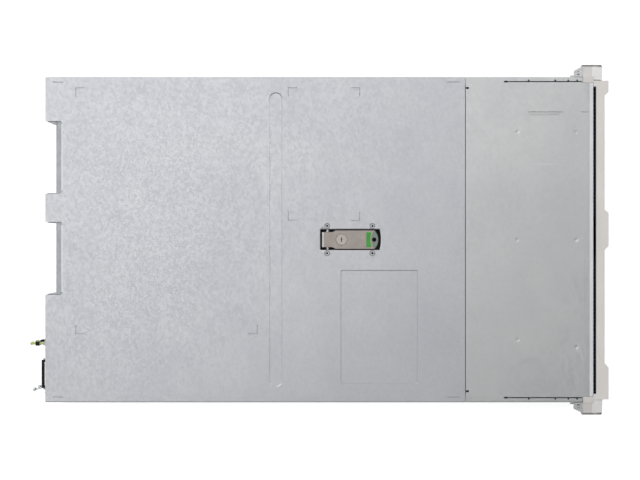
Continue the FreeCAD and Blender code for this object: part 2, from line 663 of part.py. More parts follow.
def lever_span():
    return CAGE_FLOOR_Z + 9.0, TOP_RAIL_Z - 9.0


def drive_tray(i):
    """Carrier: a front with a lever cradle and two rails that hold the drive."""
    x = bay_x(i)
    z0, z1 = lever_span()
    y = CAGE_FRONT_Y - 5.0
    cheek = BAY_PITCH / 2 - 0.95
    return join([tray_front(i)] + tray_rails(i, DRIVE_L + 1.5) + [
        box(x - cheek, x - cheek + 1.6, y - 4.8, y + 1, z0 - 5.0, z0 + 4.0),
        box(x + cheek - 1.6, x + cheek, y - 4.8, y + 1, z0 - 5.0, z0 + 4.0),
        box(x - cheek + 2.4, x + cheek - 2.4, y - 4.8, y + 1, z1 + 1.6, z1 + 7.0),
        rod(1.1, (x - cheek + 1, y - 2.4, z0), (x + cheek - 1, y - 2.4, z0)),
    ])


def drive_lever(i):
    """Ejector lever: hinged near its foot, the head swings out to the front."""
    x = bay_x(i)
    z0, z1 = lever_span()
    y = CAGE_FRONT_Y - 5.0
    half = BAY_PITCH / 2 - 2.95
    arm = box(x - half, x + half, y - 4.6, y - 0.4, z0 - 2.0, z1)
    arm = arm.makeFillet(1.5, [e for e in arm.Edges if abs(e.BoundBox.ZMax - z1) < 0.01
                               and e.BoundBox.ZLength < 0.01 and e.BoundBox.YMax < y - 4.0])
    arm = arm.makeFillet(1.9, [e for e in arm.Edges if abs(e.BoundBox.ZMax - (z0 - 2.0)) < 0.01
                               and e.BoundBox.XLength > half])
    cuts = [
        rod(1.1 + RUN, (x - 2 * half, y - 2.4, z0), (x + 2 * half, y - 2.4, z0)),
        box(x - half + 2.4, x + half - 2.4, y - 6, y + 1, z0 + 8, z1 - 14),
    ]
    return arm.cut(group(cuts))


def drive_unit(i):
    x = bay_x(i)
    z0 = CAGE_FLOOR_Z + 1.6
    y0 = CAGE_FRONT_Y + 2.0
    body = box(x - DRIVE_T / 2, x + DRIVE_T / 2, y0, y0 + DRIVE_L, z0, z0 + DRIVE_H)
    return body.makeChamfer(0.8, [e for e in body.Edges if e.BoundBox.YLength > DRIVE_L / 2])


def bay_blanks():
    solids = []
    z0, z1 = CAGE_FLOOR_Z + 4.0, TOP_RAIL_Z - 4.0
    half = BAY_PITCH / 2 - 1.95
    for i in range(BAYS):
        if i in FILLED_BAYS:
            continue
        x = bay_x(i)
        face = box(x - half, x + half, CAGE_FRONT_Y - 7.4, CAGE_FRONT_Y - 4.0, z0, z1)
        solids.append(join([tray_front(i), face] + tray_rails(i, BLANK_L)))
    return group(solids)


# Fans


def fan_x(i):
    return (i - (FAN_COUNT - 1) / 2) * FAN_PITCH


def fan_tray():
    """Tray of riveted plates: floor, sills, posts at the corners of each fan, dividers and end plates."""
    half = fan_x(FAN_COUNT - 1) + FAN_PITCH / 2 + 2
    y0, y1 = FAN_MID_Y - FAN_DEPTH / 2 - FIT, FAN_MID_Y + FAN_DEPTH / 2 + FIT
    top = BODY_H - 13
    sill = FAN_MID_Z - DUCT_R + 0.6
    window = DUCT_R - 0.6
    plates = [box(-half, half, y0 - PLATE, y1 + PLATE, SHEET, CAGE_FLOOR_Z)]
    posts = [(-half, fan_x(0) - window)]
    posts += [(fan_x(i) + window, fan_x(i + 1) - window) for i in range(FAN_COUNT - 1)]
    posts.append((fan_x(FAN_COUNT - 1) + window, half))
    for y in (y0 - PLATE, y1):
        plates.append(box(-half, half, y, y + PLATE, CAGE_FLOOR_Z, sill))
        plates += [box(a, b, y, y + PLATE, sill, top) for a, b in posts]
    for i in range(FAN_COUNT - 1):
        x = fan_x(i) + FAN_PITCH / 2
        plates.append(box(x - PLATE / 2, x + PLATE / 2, y0, y1, CAGE_FLOOR_Z, top))
    plates.append(box(-half, -half + PLATE, y0, y1, CAGE_FLOOR_Z, BODY_H - 7))
    plates.append(box(half - PLATE, half, y0, y1, CAGE_FLOOR_Z, BODY_H - 7))
    return group(plates)


def fan_housings():
    """Square duct, motor seat on four struts, shaft, and a pull loop on top."""
    solids = []
    h = FAN_W / 2
    y0, y1 = FAN_MID_Y - FAN_DEPTH / 2, FAN_MID_Y + FAN_DEPTH / 2
    for i in range(FAN_COUNT):
        x = fan_x(i)
        shell = box(x - h, x + h, y0, y1, CAGE_FLOOR_Z, FAN_TOP_Z)
        top = box(x - 14, x + 14, y0 + 6, y1 - 6, FAN_TOP_Z - 0.5, BODY_H - 7)
        grip = box(x - 10, x + 10, y0 - 1, y1 + 1, FAN_TOP_Z + 2.0, BODY_H - 9.5)
        duct = rod(DUCT_R, (x, y0 - 1, FAN_MID_Z), (x, y1 + 1, FAN_MID_Z))
        shell = join([shell, top]).cut(group([duct, grip]))
        motor = rod(HUB_R, (x, y1 - 6, FAN_MID_Z), (x, y1 - 1, FAN_MID_Z))
        shaft = rod(SHAFT_R, (x, y0 + 8, FAN_MID_Z), (x, y1 - 5, FAN_MID_Z))
        struts = []
        for k in range(4):
            bar = box(x - 1.5, x + 1.5, y1 - 5, y1 - 1.5, FAN_MID_Z + HUB_R - 2, FAN_MID_Z + DUCT_R + 1.0)
            struts.append(bar.rotate(V(x, 0, FAN_MID_Z), V(0, 1, 0), 45 + 90 * k))
        solids.append(join([shell, motor, shaft] + struts))
    return group(solids)


def fan_rotor(i):
    """Hub with a bevelled nose and pitched blades, bored for the housing's shaft."""
    x = fan_x(i)
    y0, y1 = FAN_MID_Y - FAN_DEPTH / 2 + 4.0, FAN_MID_Y + FAN_DEPTH / 2 - 6.5
    hub = rod(HUB_R, (x, y0, FAN_MID_Z), (x, y1, FAN_MID_Z))
    hub = hub.makeChamfer(1.5, [e for e in hub.Edges if abs(e.BoundBox.YMax - y0) < 0.01])
    mid = (y0 + y1) / 2
    parts = [hub]
    for k in range(BLADES):
        blade = box(x - BLADE_T / 2, x + BLADE_T / 2, mid - 11, mid + 11,
                    FAN_MID_Z + HUB_R - 1.5, FAN_MID_Z + BLADE_R)
        blade.rotate(V(x, mid, FAN_MID_Z), V(0, 0, 1), BLADE_TURN)
        blade.rotate(V(x, mid, FAN_MID_Z), V(0, 1, 0), 360.0 * k / BLADES)
        parts.append(blade)
    return join(parts).cut(rod(SHAFT_R + RUN, (x, y0 + 3.5, FAN_MID_Z), (x, y1 + 1, FAN_MID_Z)))


# Motherboard area


def dimm_xs():
    first = CPU_X + SINK_W / 2 + DIMM_GAP
    inner = [DIMM_INNER_X + k * DIMM_PITCH for k in range(INNER_DIMMS)]
    outer = [first + k * DIMM_PITCH for k in range(OUTER_DIMMS)]
    return sorted([-x for x in inner + outer] + inner + outer)


def motherboard():
    """Board cut away beside the power supplies, with memory sockets, processor sockets and large connectors."""
    y0, y1 = BOARD_Y
    z1 = BOARD_TOP_Z
    psu_side = PSU_X1 + 2.5
    seat = z1 - 0.1
    parts = [
        box(-BOARD_X, BOARD_X, y0, PSU_FRONT_Y - 6, BOARD_Z, z1),
        box(psu_side, BOARD_X, PSU_FRONT_Y - 7, y1, BOARD_Z, z1),
        box(-BOARD_X + 9, -BOARD_X + 64, PSU_FRONT_Y - 26.5, PSU_FRONT_Y - 10.5, seat, z1 + 9),
        box(30, 58, CPU_Y + 135, CPU_Y + 163, seat, z1 + 8),
        box(psu_side + 4, psu_side + 44, CPU_Y + 145, CPU_Y + 159, seat, z1 + 6),
        box(BOARD_X - 94, BOARD_X - 24, CPU_Y + 127, CPU_Y + 135, seat, z1 + 7),
    ]
    half = SINK_W / 2 - 10
    for s in (-1, 1):
        parts.append(box(s * CPU_X - half, s * CPU_X + half, CPU_Y - 38, CPU_Y + 38, seat, z1 + CPU_SOCKET_H))
    socket_y = DIMM_L / 2 + 4.3
    for x in dimm_xs():
        parts.append(box(x - 3.0, x + 3.0, CPU_Y - socket_y, CPU_Y + socket_y, seat, z1 + SOCKET_H))
    slots = []
    for x in dimm_xs():
        slots.append(box(x - DIMM_T / 4, x + DIMM_T / 4, CPU_Y - DIMM_L / 2, CPU_Y + DIMM_L / 2, z1 + 2, z1 + 20))
    return join(parts).cut(group(slots))


def memory_modules():
    z0 = BOARD_TOP_Z + 2
    y0, y1 = CPU_Y - DIMM_L / 2, CPU_Y + DIMM_L / 2
    solids = []
    for x in dimm_xs():
        card = box(x - DIMM_T / 4, x + DIMM_T / 4, y0, y1, z0, z0 + DIMM_H)
        chips = box(x - DIMM_T / 2, x + DIMM_T / 2, y0 + 6, y1 - 6, z0 + 10, z0 + DIMM_H - 4)
        solids.append(join([card, chips]))
    return group(solids)


def heatsinks():
    """Base plates with thin fins soldered upright on them."""
    solids = []
    base_z = BOARD_TOP_Z + CPU_SOCKET_H
    y0, y1 = CPU_Y - SINK_L / 2, CPU_Y + SINK_L / 2
    w = SINK_W - 2 * BAFFLE_T
    pitch = (w - FIN_T) / (FINS - 1)
    for s in (-1, 1):
        x0 = s * CPU_X - w / 2
        solids.append(box(x0, x0 + w, y0, y1, base_z, base_z + 6))
        for k in range(FINS):
            x = x0 + k * pitch
            solids.append(box(x, x + FIN_T, y0, y1, base_z + 6, SINK_TOP_Z))
    return group(solids)


def air_baffle():
    y0, y1 = BOARD_Y[0] + 2, CPU_Y + 72
    t = BAFFLE_T
    parts = []
    for s in (-1, 1):
        a, b = sorted((s * (CPU_X - SINK_W / 2), s * (CPU_X + SINK_W / 2)))
        parts.append(box(a, a + t, y0, y1, BOARD_TOP_Z, BAFFLE_TOP_Z))
        parts.append(box(b - t, b, y0, y1, BOARD_TOP_Z, BAFFLE_TOP_Z))
        parts.append(box(a, b, y0, y1, BAFFLE_TOP_Z - t, BAFFLE_TOP_Z))
    link = CPU_X - SINK_W / 2 + 1
    parts.append(box(-link, link, CPU_Y + 43, y1, BAFFLE_TOP_Z - t, BAFFLE_TOP_Z))
    return join(parts)


# Risers, ports and power supplies


def riser_cages():
    """Folded card cage: side walls, a recessed rear face with card slots, the recess floor and two top straps."""
    solids = []
    wall = REAR_WALL_Y - SHEET
    for x0, x1 in NOTCHES:
        a, b = x0 + FIT, x1 - FIT
        cage = join([
            box(a, a + PLATE, RISER_FRONT_Y, wall, RISER_LOW_Z, RISER_TOP_Z),
            box(b - PLATE, b, RISER_FRONT_Y, wall, RISER_LOW_Z, RISER_TOP_Z),
            box(a, b, RISER_FACE_Y - PLATE, RISER_FACE_Y, RISER_LOW_Z, RISER_TOP_Z),
            box(a, b, RISER_FACE_Y - 1, wall, RISER_LOW_Z, RISER_LOW_Z + PLATE),
            box(a, b, RISER_FRONT_Y, RISER_FRONT_Y + 40, RISER_TOP_Z - PLATE, RISER_TOP_Z),
            box(a, b, RISER_FACE_Y - 30, RISER_FACE_Y, RISER_TOP_Z - PLATE, RISER_TOP_Z),
            box(a, a + 12, RISER_FRONT_Y, RISER_FRONT_Y + PLATE, BOARD_TOP_Z, RISER_TOP_Z),
            box(b - 12, b, RISER_FRONT_Y, RISER_FRONT_Y + PLATE, BOARD_TOP_Z, RISER_TOP_Z),
        ])
        cuts = [box(a + 8, b - 6, RISER_FACE_Y - 5, RISER_FACE_Y + 1, z, z + SLOT_H) for z in SLOT_ZS]
        solids.append(cage.cut(group(cuts)))
    return group(solids)


def slot_covers():
    solids = []
    y = RISER_FACE_Y - PLATE
    for x0, x1 in NOTCHES:
        for z in SLOT_ZS:
            solids.append(box(x0 + FIT + 5, x1 - FIT - 3, y - 0.8, y, z - 1.5, z + SLOT_H + 1.5))
    return group(solids)


def riser_boards():
    solids = []
    for x0, x1 in NOTCHES:
        x = x0 + FIT + PLATE
        board = box(x, x + BOARD_T, RISER_FRONT_Y + 6, RISER_FACE_Y - 24, BOARD_TOP_Z, BODY_H - 7)
        slots = [box(x + BOARD_T - 0.2, x + 11, RISER_FRONT_Y + 20, RISER_FACE_Y - 50, z + 3, z + SLOT_H - 2)
                 for z in SLOT_ZS]
        solids.append(join([board] + slots))
    return group(solids)


def rear_ports():
    """Sockets on the board's rear edge, each with a front plate; the plates fill the port row side by side."""
    x0, x1 = PORT_ROW_X
    places = [(x0 + share * (x1 - x0), w, h) for share, w, h in PORTS]
    borders = [x0] + [(a[0] + a[1] / 2 + b[0] - b[1] / 2) / 2 for a, b in zip(places, places[1:])] + [x1]
    t = PORT_WALL
    y1 = REAR_WALL_Y + 0.6
    solids = []
    for (x, w, h), left, right in zip(places, borders, borders[1:]):
        shell = box(x - w / 2, x + w / 2, BOARD_Y[1] - 14, y1, BOARD_TOP_Z, BOARD_TOP_Z + h)
        front = box(left, right, REAR_WALL_Y - SHEET, REAR_WALL_Y, SHEET, PORT_ROW_TOP_Z)
        mouth = box(x - w / 2 + t, x + w / 2 - t, REAR_WALL_Y - 9, y1 + 1, BOARD_TOP_Z + t, BOARD_TOP_Z + h - t)
        solids.append(join([shell, front]).cut(mouth))
    return group(solids)


def psu_cage():
    x0, x1 = -WALL_IN, PSU_X1 + PSU_SIDE_GAP + CAGE_T
    y0, y1 = PSU_FRONT_Y - 2, REAR_WALL_Y - SHEET
    shelf = PSU_Z[1] - PLATE
    top = PSU_Z[1] + PSU_H + 0.6
    return join([
        box(x0, x1, y0, y1, SHEET, CAGE_FLOOR_Z),
        box(x0, x1, y0, y1, shelf, shelf + PLATE),
        box(x0, x1, y0, y1, top, top + PLATE),
        box(x0, x0 + CAGE_T, y0, y1, SHEET, top + PLATE),
        box(x1 - CAGE_T, x1, y0, y1, SHEET, top + PLATE),
    ])


def psu_mid_z(n):
    return PSU_Z[n] + PSU_H / 2


def psu(n):
    """Supply with its inlet and pins, and the eyes and pins that carry handle, release and cord clip."""
    z0, z1 = PSU_Z[n], PSU_Z[n] + PSU_H
    mid = psu_mid_z(n)
    y = PSU_REAR_Y
    py = y + PIVOT_OFF
    iz = mid + INLET_Z
    inlet = box(INLET_X - INLET_W / 2, INLET_X + INLET_W / 2, y - INLET_DEPTH, y + 1,
                iz - INLET_H / 2, iz + INLET_H / 2)
    body = box(PSU_X0, PSU_X1, y - PSU_L, y, z0, z1).cut(inlet)
    pin_root, pin_tip = y - INLET_DEPTH - 1, y - 5.5
    h0, h1 = HANDLE_X
    hz = mid + HANDLE_Z
    return join([
        body,
        box(INLET_X - 8.0, INLET_X - 6.0, pin_root, pin_tip, iz - 4.0, iz),
        box(INLET_X + 6.0, INLET_X + 8.0, pin_root, pin_tip, iz - 4.0, iz),
        box(INLET_X - 1.0, INLET_X + 1.0, pin_root, pin_tip, iz + 2.0, iz + 6.0),
        box(h0 - 2.4, h0 - 0.4, y - 1, py + 2.0, hz - 2.5, hz + 2.5),
        box(h1 + 0.4, h1 + 2.4, y - 1, py + 2.0, hz - 2.5, hz + 2.5),
        rod(1.4, (h0 - 1, py, hz), (h0 + HANDLE_ARM, py, hz)),
        rod(1.4, (h1 - HANDLE_ARM, py, hz), (h1 + 1, py, hz)),
        box(RELEASE_X - 2.5, RELEASE_X + 2.5, y - 1, py + 2.4, mid + 8.4, mid + 10.4),
        box(RELEASE_X - 2.5, RELEASE_X + 2.5, y - 1, py + 2.4, mid - 10.4, mid - 8.4),
        rod(1.3, (RELEASE_X, py, mid - 9.5), (RELEASE_X, py, mid + 9.5)),
        box(CLIP_X - 4.6, CLIP_X - 3.0, y - 1, py + 2.0, mid - 2.0, mid + 2.0),
        rod(1.1, (CLIP_X - 4, py, mid), (CLIP_X + 2.6, py, mid)),
    ])


def psu_handle(n):
    """Fold-up hoop: two arms on pins and a rounded bar."""
    mid = psu_mid_z(n) + HANDLE_Z
    py = PSU_REAR_Y + PIVOT_OFF
    h0, h1 = HANDLE_X
    tip = PSU_REAR_Y + HANDLE_REACH
    hoop = join([
        box(h0, h0 + HANDLE_ARM, py - 2.2, tip, mid - 2.2, mid + 2.2),
        box(h1 - HANDLE_ARM, h1, py - 2.2, tip, mid - 2.2, mid + 2.2),
        box(h0, h1, tip - 4.0, tip, mid - 4.0, mid + 4.0),
    ])
    hoop = hoop.makeFillet(1.2, [e for e in hoop.Edges if e.BoundBox.XLength > 30 and e.BoundBox.YMax > tip - 0.01])
    hoop = hoop.makeFillet(1.8, [e for e in hoop.Edges if abs(e.BoundBox.YMax - (py - 2.2)) < 0.01
                                 and e.BoundBox.XLength > 1])
    return hoop.cut(rod(1.4 + RUN, (h0 - 5, py, mid), (h1 + 5, py, mid)))


def psu_release(n):
    mid = psu_mid_z(n)
    py = PSU_REAR_Y + PIVOT_OFF
    tip = PSU_REAR_Y + RELEASE_REACH
    lever = join([
        rod(2.4, (RELEASE_X, py, mid - 8.0), (RELEASE_X, py, mid + 8.0)),
        box(RELEASE_X - 1.4, RELEASE_X + 1.4, py, tip - 2.0, mid - 7.0, mid + 7.0),
        rod(2.4, (RELEASE_X, tip - 2.4, mid - 7.0), (RELEASE_X, tip - 2.4, mid + 7.0)),
    ])
    return lever.cut(rod(1.3 + RUN, (RELEASE_X, py, mid - 20), (RELEASE_X, py, mid + 20)))


def psu_cord_clip(n):
    """Wire arm with a knob that swings over the cord's plug."""
    z = psu_mid_z(n)
    py = PSU_REAR_Y + PIVOT_OFF
    tip = PSU_REAR_Y + CLIP_REACH - CLIP_KNOB_R
    knob = rod(CLIP_KNOB_R, (CLIP_X, tip - CLIP_KNOB_R, z), (CLIP_X, tip + CLIP_KNOB_R, z))
    clip = join([
        rod(2.1, (CLIP_X - 2.2, py, z), (CLIP_X + 2.2, py, z)),
        rod(1.1, (CLIP_X, py, z), (CLIP_X, tip, z)),
        knob.makeChamfer(1.3, [e for e in knob.Edges if e.BoundBox.YLength < 0.01]),
    ])
    return clip.cut(rod(1.1 + RUN, (CLIP_X - 8, py, z), (CLIP_X + 8, py, z)))


NODES = {
    "chassis_pan": chassis_pan(),
    "rear_wall": rear_wall(),
    "front_top_panel": front_top_panel(),
    "vent_strip": vent_strip(),
    "top_cover": top_cover(),
    "latch_well": latch_well(),
    "latch_pin": latch_pin(),
    "latch_lever": latch_lever(),
    "latch_grip": latch_grip(),
    "latch_lock_screw": latch_lock_screw(),
    "latch_rivets": latch_rivets(),
    "front_bezel": front_bezel(),
    "power_button": push_button(POWER_R, POWER_Z),
    "id_button": push_button(ID_R, ID_Z),
    "asset_tag": asset_tag(),
    "right_ear": right_ear(),
    "left_ear": mirror_x(right_ear()),
    "right_slam_latch": right_slam_latch(),
    "left_slam_latch": mirror_x(right_slam_latch()),
    "drive_cage": drive_cage(),
    "drive_backplane": drive_backplane(),
    "bay_blanks": bay_blanks(),
    "fan_tray": fan_tray(),
    "fan_housings": fan_housings(),
    "motherboard": motherboard(),
    "memory_modules": memory_modules(),
    "heatsinks": heatsinks(),
    "air_baffle": air_baffle(),
    "riser_cages": riser_cages(),
    "riser_boards": riser_boards(),
    "slot_covers": slot_covers(),
    "rear_ports": rear_ports(),
    "psu_cage": psu_cage(),
}
for i in range(FAN_COUNT):
    NODES["fan_rotor_%d" % (i + 1)] = fan_rotor(i)
for n in range(2):
    NODES["psu_%d" % (n + 1)] = psu(n)
    NODES["psu_%d_handle" % (n + 1)] = psu_handle(n)
    NODES["psu_%d_release" % (n + 1)] = psu_release(n)
    NODES["psu_%d_cord_clip" % (n + 1)] = psu_cord_clip(n)
for i in FILLED_BAYS:
    NODES["drive_tray_%d" % (i + 1)] = drive_tray(i)
    NODES["drive_lever_%d" % (i + 1)] = drive_lever(i)
    NODES["drive_%d" % (i + 1)] = drive_unit(i)

os.makedirs("parts", exist_ok=True)
for name, shape in NODES.items():
    shape.exportStep("parts/%s.step" % name)
print(len(NODES), "nodes written")
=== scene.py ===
import math

import bmesh
import bpy
from mathutils import Matrix, Vector
from mathutils.geometry import delaunay_2d_cdt


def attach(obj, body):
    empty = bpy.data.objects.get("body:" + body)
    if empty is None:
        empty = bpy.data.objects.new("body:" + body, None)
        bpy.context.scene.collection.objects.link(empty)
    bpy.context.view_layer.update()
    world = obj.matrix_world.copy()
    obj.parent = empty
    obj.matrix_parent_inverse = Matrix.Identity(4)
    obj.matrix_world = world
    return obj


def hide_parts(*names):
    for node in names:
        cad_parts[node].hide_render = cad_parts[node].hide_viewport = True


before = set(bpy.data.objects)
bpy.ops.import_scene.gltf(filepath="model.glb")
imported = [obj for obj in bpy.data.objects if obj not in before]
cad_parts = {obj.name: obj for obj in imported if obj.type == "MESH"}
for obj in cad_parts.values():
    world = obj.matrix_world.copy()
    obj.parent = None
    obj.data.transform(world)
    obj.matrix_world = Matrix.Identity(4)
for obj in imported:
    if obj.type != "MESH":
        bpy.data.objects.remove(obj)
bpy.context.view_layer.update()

MM = 0.001
TOP = 87.0
HALF_W = 224.0
FRONT_Y, JOINT_Y, REAR_Y = -377.2, -200.4, 377.2
SHEET = 1.2
BEND = 1.6                          # outer radius of the folded sides
EDGE_X = HALF_W - BEND              # where the flat top of a sheet ends
SIDE_FLANGE = 14.0
NOTCHES = ((63.5, 163.0), (-75.7, 24.4))
RISERS = ((63.35, 163.16), (-75.58, 24.24))
CORNER_X, CORNER_Y = 215.6, -362.0  # notched front corners of the front panel
RIVETS = [(s * 18.75, y) for s in (-1, 1) for y in (-10.6, -72.9)]
LOCK_Y = -30.4
EAR_SLOPE = 0.08
REAR_STEP = 5.2                     # the port row stands this much further in than the wall above it


# ---------------------------------------------------------------- materials

def linear(hex_colour):
    """sRGB hex to the linear colour that a shader socket takes."""
    channels = [int(hex_colour[i:i + 2], 16) / 255 for i in (1, 3, 5)]
    return tuple(c / 12.92 if c <= 0.04045 else ((c + 0.055) / 1.055) ** 2.4 for c in channels) + (1.0,)


def add(tree, kind, inputs=None, **settings):
    """Adds one node. inputs maps a socket to a value, an sRGB hex colour or another node's output."""
    made = tree.nodes.new(kind)
    for name, value in settings.items():
        setattr(made, name, value)
    for name, value in (inputs or {}).items():
        if isinstance(value, bpy.types.NodeSocket):
            tree.links.new(value, made.inputs[name])
        else:
            made.inputs[name].default_value = linear(value) if isinstance(value, str) else value
    return made


def blank_material(name):
    mat = bpy.data.materials.new(name)
    mat.use_nodes = True
    mat.node_tree.nodes.clear()
    return mat, mat.node_tree


def closed(mat, tree, colour, metallic, roughness, relief, strength, depth_mm, specular=0.5):
    """The material, closed with its relief, shader and output."""
    lift = add(tree, "ShaderNodeBump", {"Height": relief, "Strength": strength, "Distance": depth_mm * MM})
    shader = add(tree, "ShaderNodeBsdfPrincipled", {
        "Base Color": colour, "Metallic": metallic, "Roughness": roughness, "Normal": lift.outputs[0],
        "Specular IOR Level": specular})
    add(tree, "ShaderNodeOutputMaterial", {"Surface": shader.outputs[0]})
    return mat


def finish(name, low, high, rough, patch_mm, grain_mm, bump=0.15, metallic=0.0, swing=0.06,
           stretch=(1, 1, 1), specular=0.5):
    """Two close tones in soft patches, a fine grain that lifts the surface, and a roughness that wanders.

    The grain of 0.5 to 1 mm is coarser than the real one, so that it shows in the picture.
    """
    mat, tree = blank_material(name)
    coords = add(tree, "ShaderNodeTexCoord").outputs["Object"]
    turned = add(tree, "ShaderNodeMapping", {"Vector": coords, "Scale": stretch}).outputs[0]
    patches = add(tree, "ShaderNodeTexNoise", {"Vector": coords, "Scale": 1 / (patch_mm * MM),
                                               "Detail": 3.0, "Roughness": 0.6}).outputs[0]
    grain = add(tree, "ShaderNodeTexNoise", {"Vector": turned, "Scale": 1 / (grain_mm * MM),
                                             "Detail": 2.0}).outputs[0]
    share = add(tree, "ShaderNodeMapRange", {"Value": patches, "From Min": 0.3, "From Max": 0.7}).outputs[0]
    colour = add(tree, "ShaderNodeMix", {0: share, 6: low, 7: high}, data_type="RGBA").outputs[2]
    roughness = add(tree, "ShaderNodeMapRange", {"Value": grain, "From Min": 0.3, "From Max": 0.7,
                                                 "To Min": rough - swing, "To Max": rough + swing}).outputs[0]
    return closed(mat, tree, colour, metallic, roughness, grain, bump, grain_mm * 0.2, specular)


def spangled(name, low, high, dark, metallic, rough, spangle_mm):
    """Hot-dip galvanised sheet: zinc crystals of slightly different tone and gloss under a soft cloud."""
    mat, tree = blank_material(name)
    coords = add(tree, "ShaderNodeTexCoord").outputs["Object"]
    crystals = add(tree, "ShaderNodeTexVoronoi", {"Vector": coords, "Scale": 1 / (spangle_mm * MM),
                                                  "Randomness": 1.0}).outputs["Color"]
    tone = add(tree, "ShaderNodeSeparateColor", {"Color": crystals}).outputs[0]
    # Clouds of about 90 mm and specks of 1.6 mm, as zinc sheet shows them.
    cloud = add(tree, "ShaderNodeTexNoise", {"Vector": coords, "Scale": 1 / (90 * MM), "Detail": 4.0,
                                             "Roughness": 0.55}).outputs[0]
    speck = add(tree, "ShaderNodeTexNoise", {"Vector": coords, "Scale": 1 / (1.6 * MM),
                                             "Detail": 2.0}).outputs[0]
    share = add(tree, "ShaderNodeMapRange", {"Value": cloud, "From Min": 0.35, "From Max": 0.65}).outputs[0]
    base = add(tree, "ShaderNodeMix", {0: share, 6: low, 7: high}, data_type="RGBA").outputs[2]
    share = add(tree, "ShaderNodeMapRange", {"Value": tone, "To Max": 0.16}).outputs[0]
    flecked = add(tree, "ShaderNodeMix", {0: share, 6: base, 7: dark}, data_type="RGBA").outputs[2]
    share = add(tree, "ShaderNodeMapRange", {"Value": speck, "From Min": 0.35, "From Max": 0.65,
                                             "To Max": 0.07}).outputs[0]
    colour = add(tree, "ShaderNodeMix", {0: share, 6: flecked, 7: dark}, data_type="RGBA").outputs[2]
    roughness = add(tree, "ShaderNodeMapRange", {"Value": tone, "To Min": rough - 0.05,
                                                 "To Max": rough + 0.07}).outputs[0]
    return closed(mat, tree, colour, metallic, roughness, speck, 0.05, 0.2)


def circuit_board(name, mask, copper, mesh_mm):
    """Circuit board: solder mask with buried copper areas and fine traces just visible under it."""
    mat, tree = blank_material(name)
    coords = add(tree, "ShaderNodeTexCoord").outputs["Object"]
    areas = add(tree, "ShaderNodeTexVoronoi", {"Vector": coords, "Scale": 1 / (mesh_mm * 6 * MM)},
                distance="CHEBYCHEV").outputs["Color"]
    tone = add(tree, "ShaderNodeSeparateColor", {"Color": areas}).outputs[0]
    lines = add(tree, "ShaderNodeTexWave", {"Vector": coords, "Scale": 1 / (mesh_mm * MM * 6.28),
                                            "Distortion": 0.0}, bands_direction="X").outputs["Fac"]
    lines = add(tree, "ShaderNodeMapRange", {"Value": lines, "From Min": 0.6, "From Max": 0.8}).outputs[0]
    areas = add(tree, "ShaderNodeMapRange", {"Value": tone, "From Min": 0.45, "From Max": 0.55}).outputs[0]
    traces = add(tree, "ShaderNodeMath", {0: lines, 1: areas}, operation="MULTIPLY").outputs[0]
    colour = add(tree, "ShaderNodeMix", {0: traces, 6: mask, 7: copper}, data_type="RGBA").outputs[2]
    return closed(mat, tree, colour, 0.0, 0.38, traces, 0.3, 0.05)


def brushed(name, low, high, rough, line_mm, along):
    """Metal with fine lines left by brushing or drawing, running along one axis."""
    mat, tree = blank_material(name)
    coords = add(tree, "ShaderNodeTexCoord").outputs["Object"]
    scale = [1 / (line_mm * MM)] * 3
    scale[along] /= 40
    drawn = add(tree, "ShaderNodeMapping", {"Vector": coords, "Scale": scale}).outputs[0]
    lines = add(tree, "ShaderNodeTexNoise", {"Vector": drawn, "Scale": 1.0, "Detail": 2.0}).outputs[0]
    share = add(tree, "ShaderNodeMapRange", {"Value": lines, "From Min": 0.3, "From Max": 0.7}).outputs[0]
    colour = add(tree, "ShaderNodeMix", {0: share, 6: low, 7: high}, data_type="RGBA").outputs[2]
    roughness = add(tree, "ShaderNodeMapRange", {"Value": lines, "From Min": 0.3, "From Max": 0.7,
                                                 "To Min": rough - 0.06, "To Max": rough + 0.08}).outputs[0]
    return closed(mat, tree, colour, 1.0, roughness, lines, 0.12, 0.1)


def glow(name, colour, strength):
    """Light pipe of a status lamp: clear plastic lit from inside."""
    mat, tree = blank_material(name)
    shader = add(tree, "ShaderNodeBsdfPrincipled", {"Base Color": colour, "Roughness": 0.3,
                                                    "Emission Color": colour, "Emission Strength": strength})
    add(tree, "ShaderNodeOutputMaterial", {"Surface": shader.outputs[0]})
    return mat


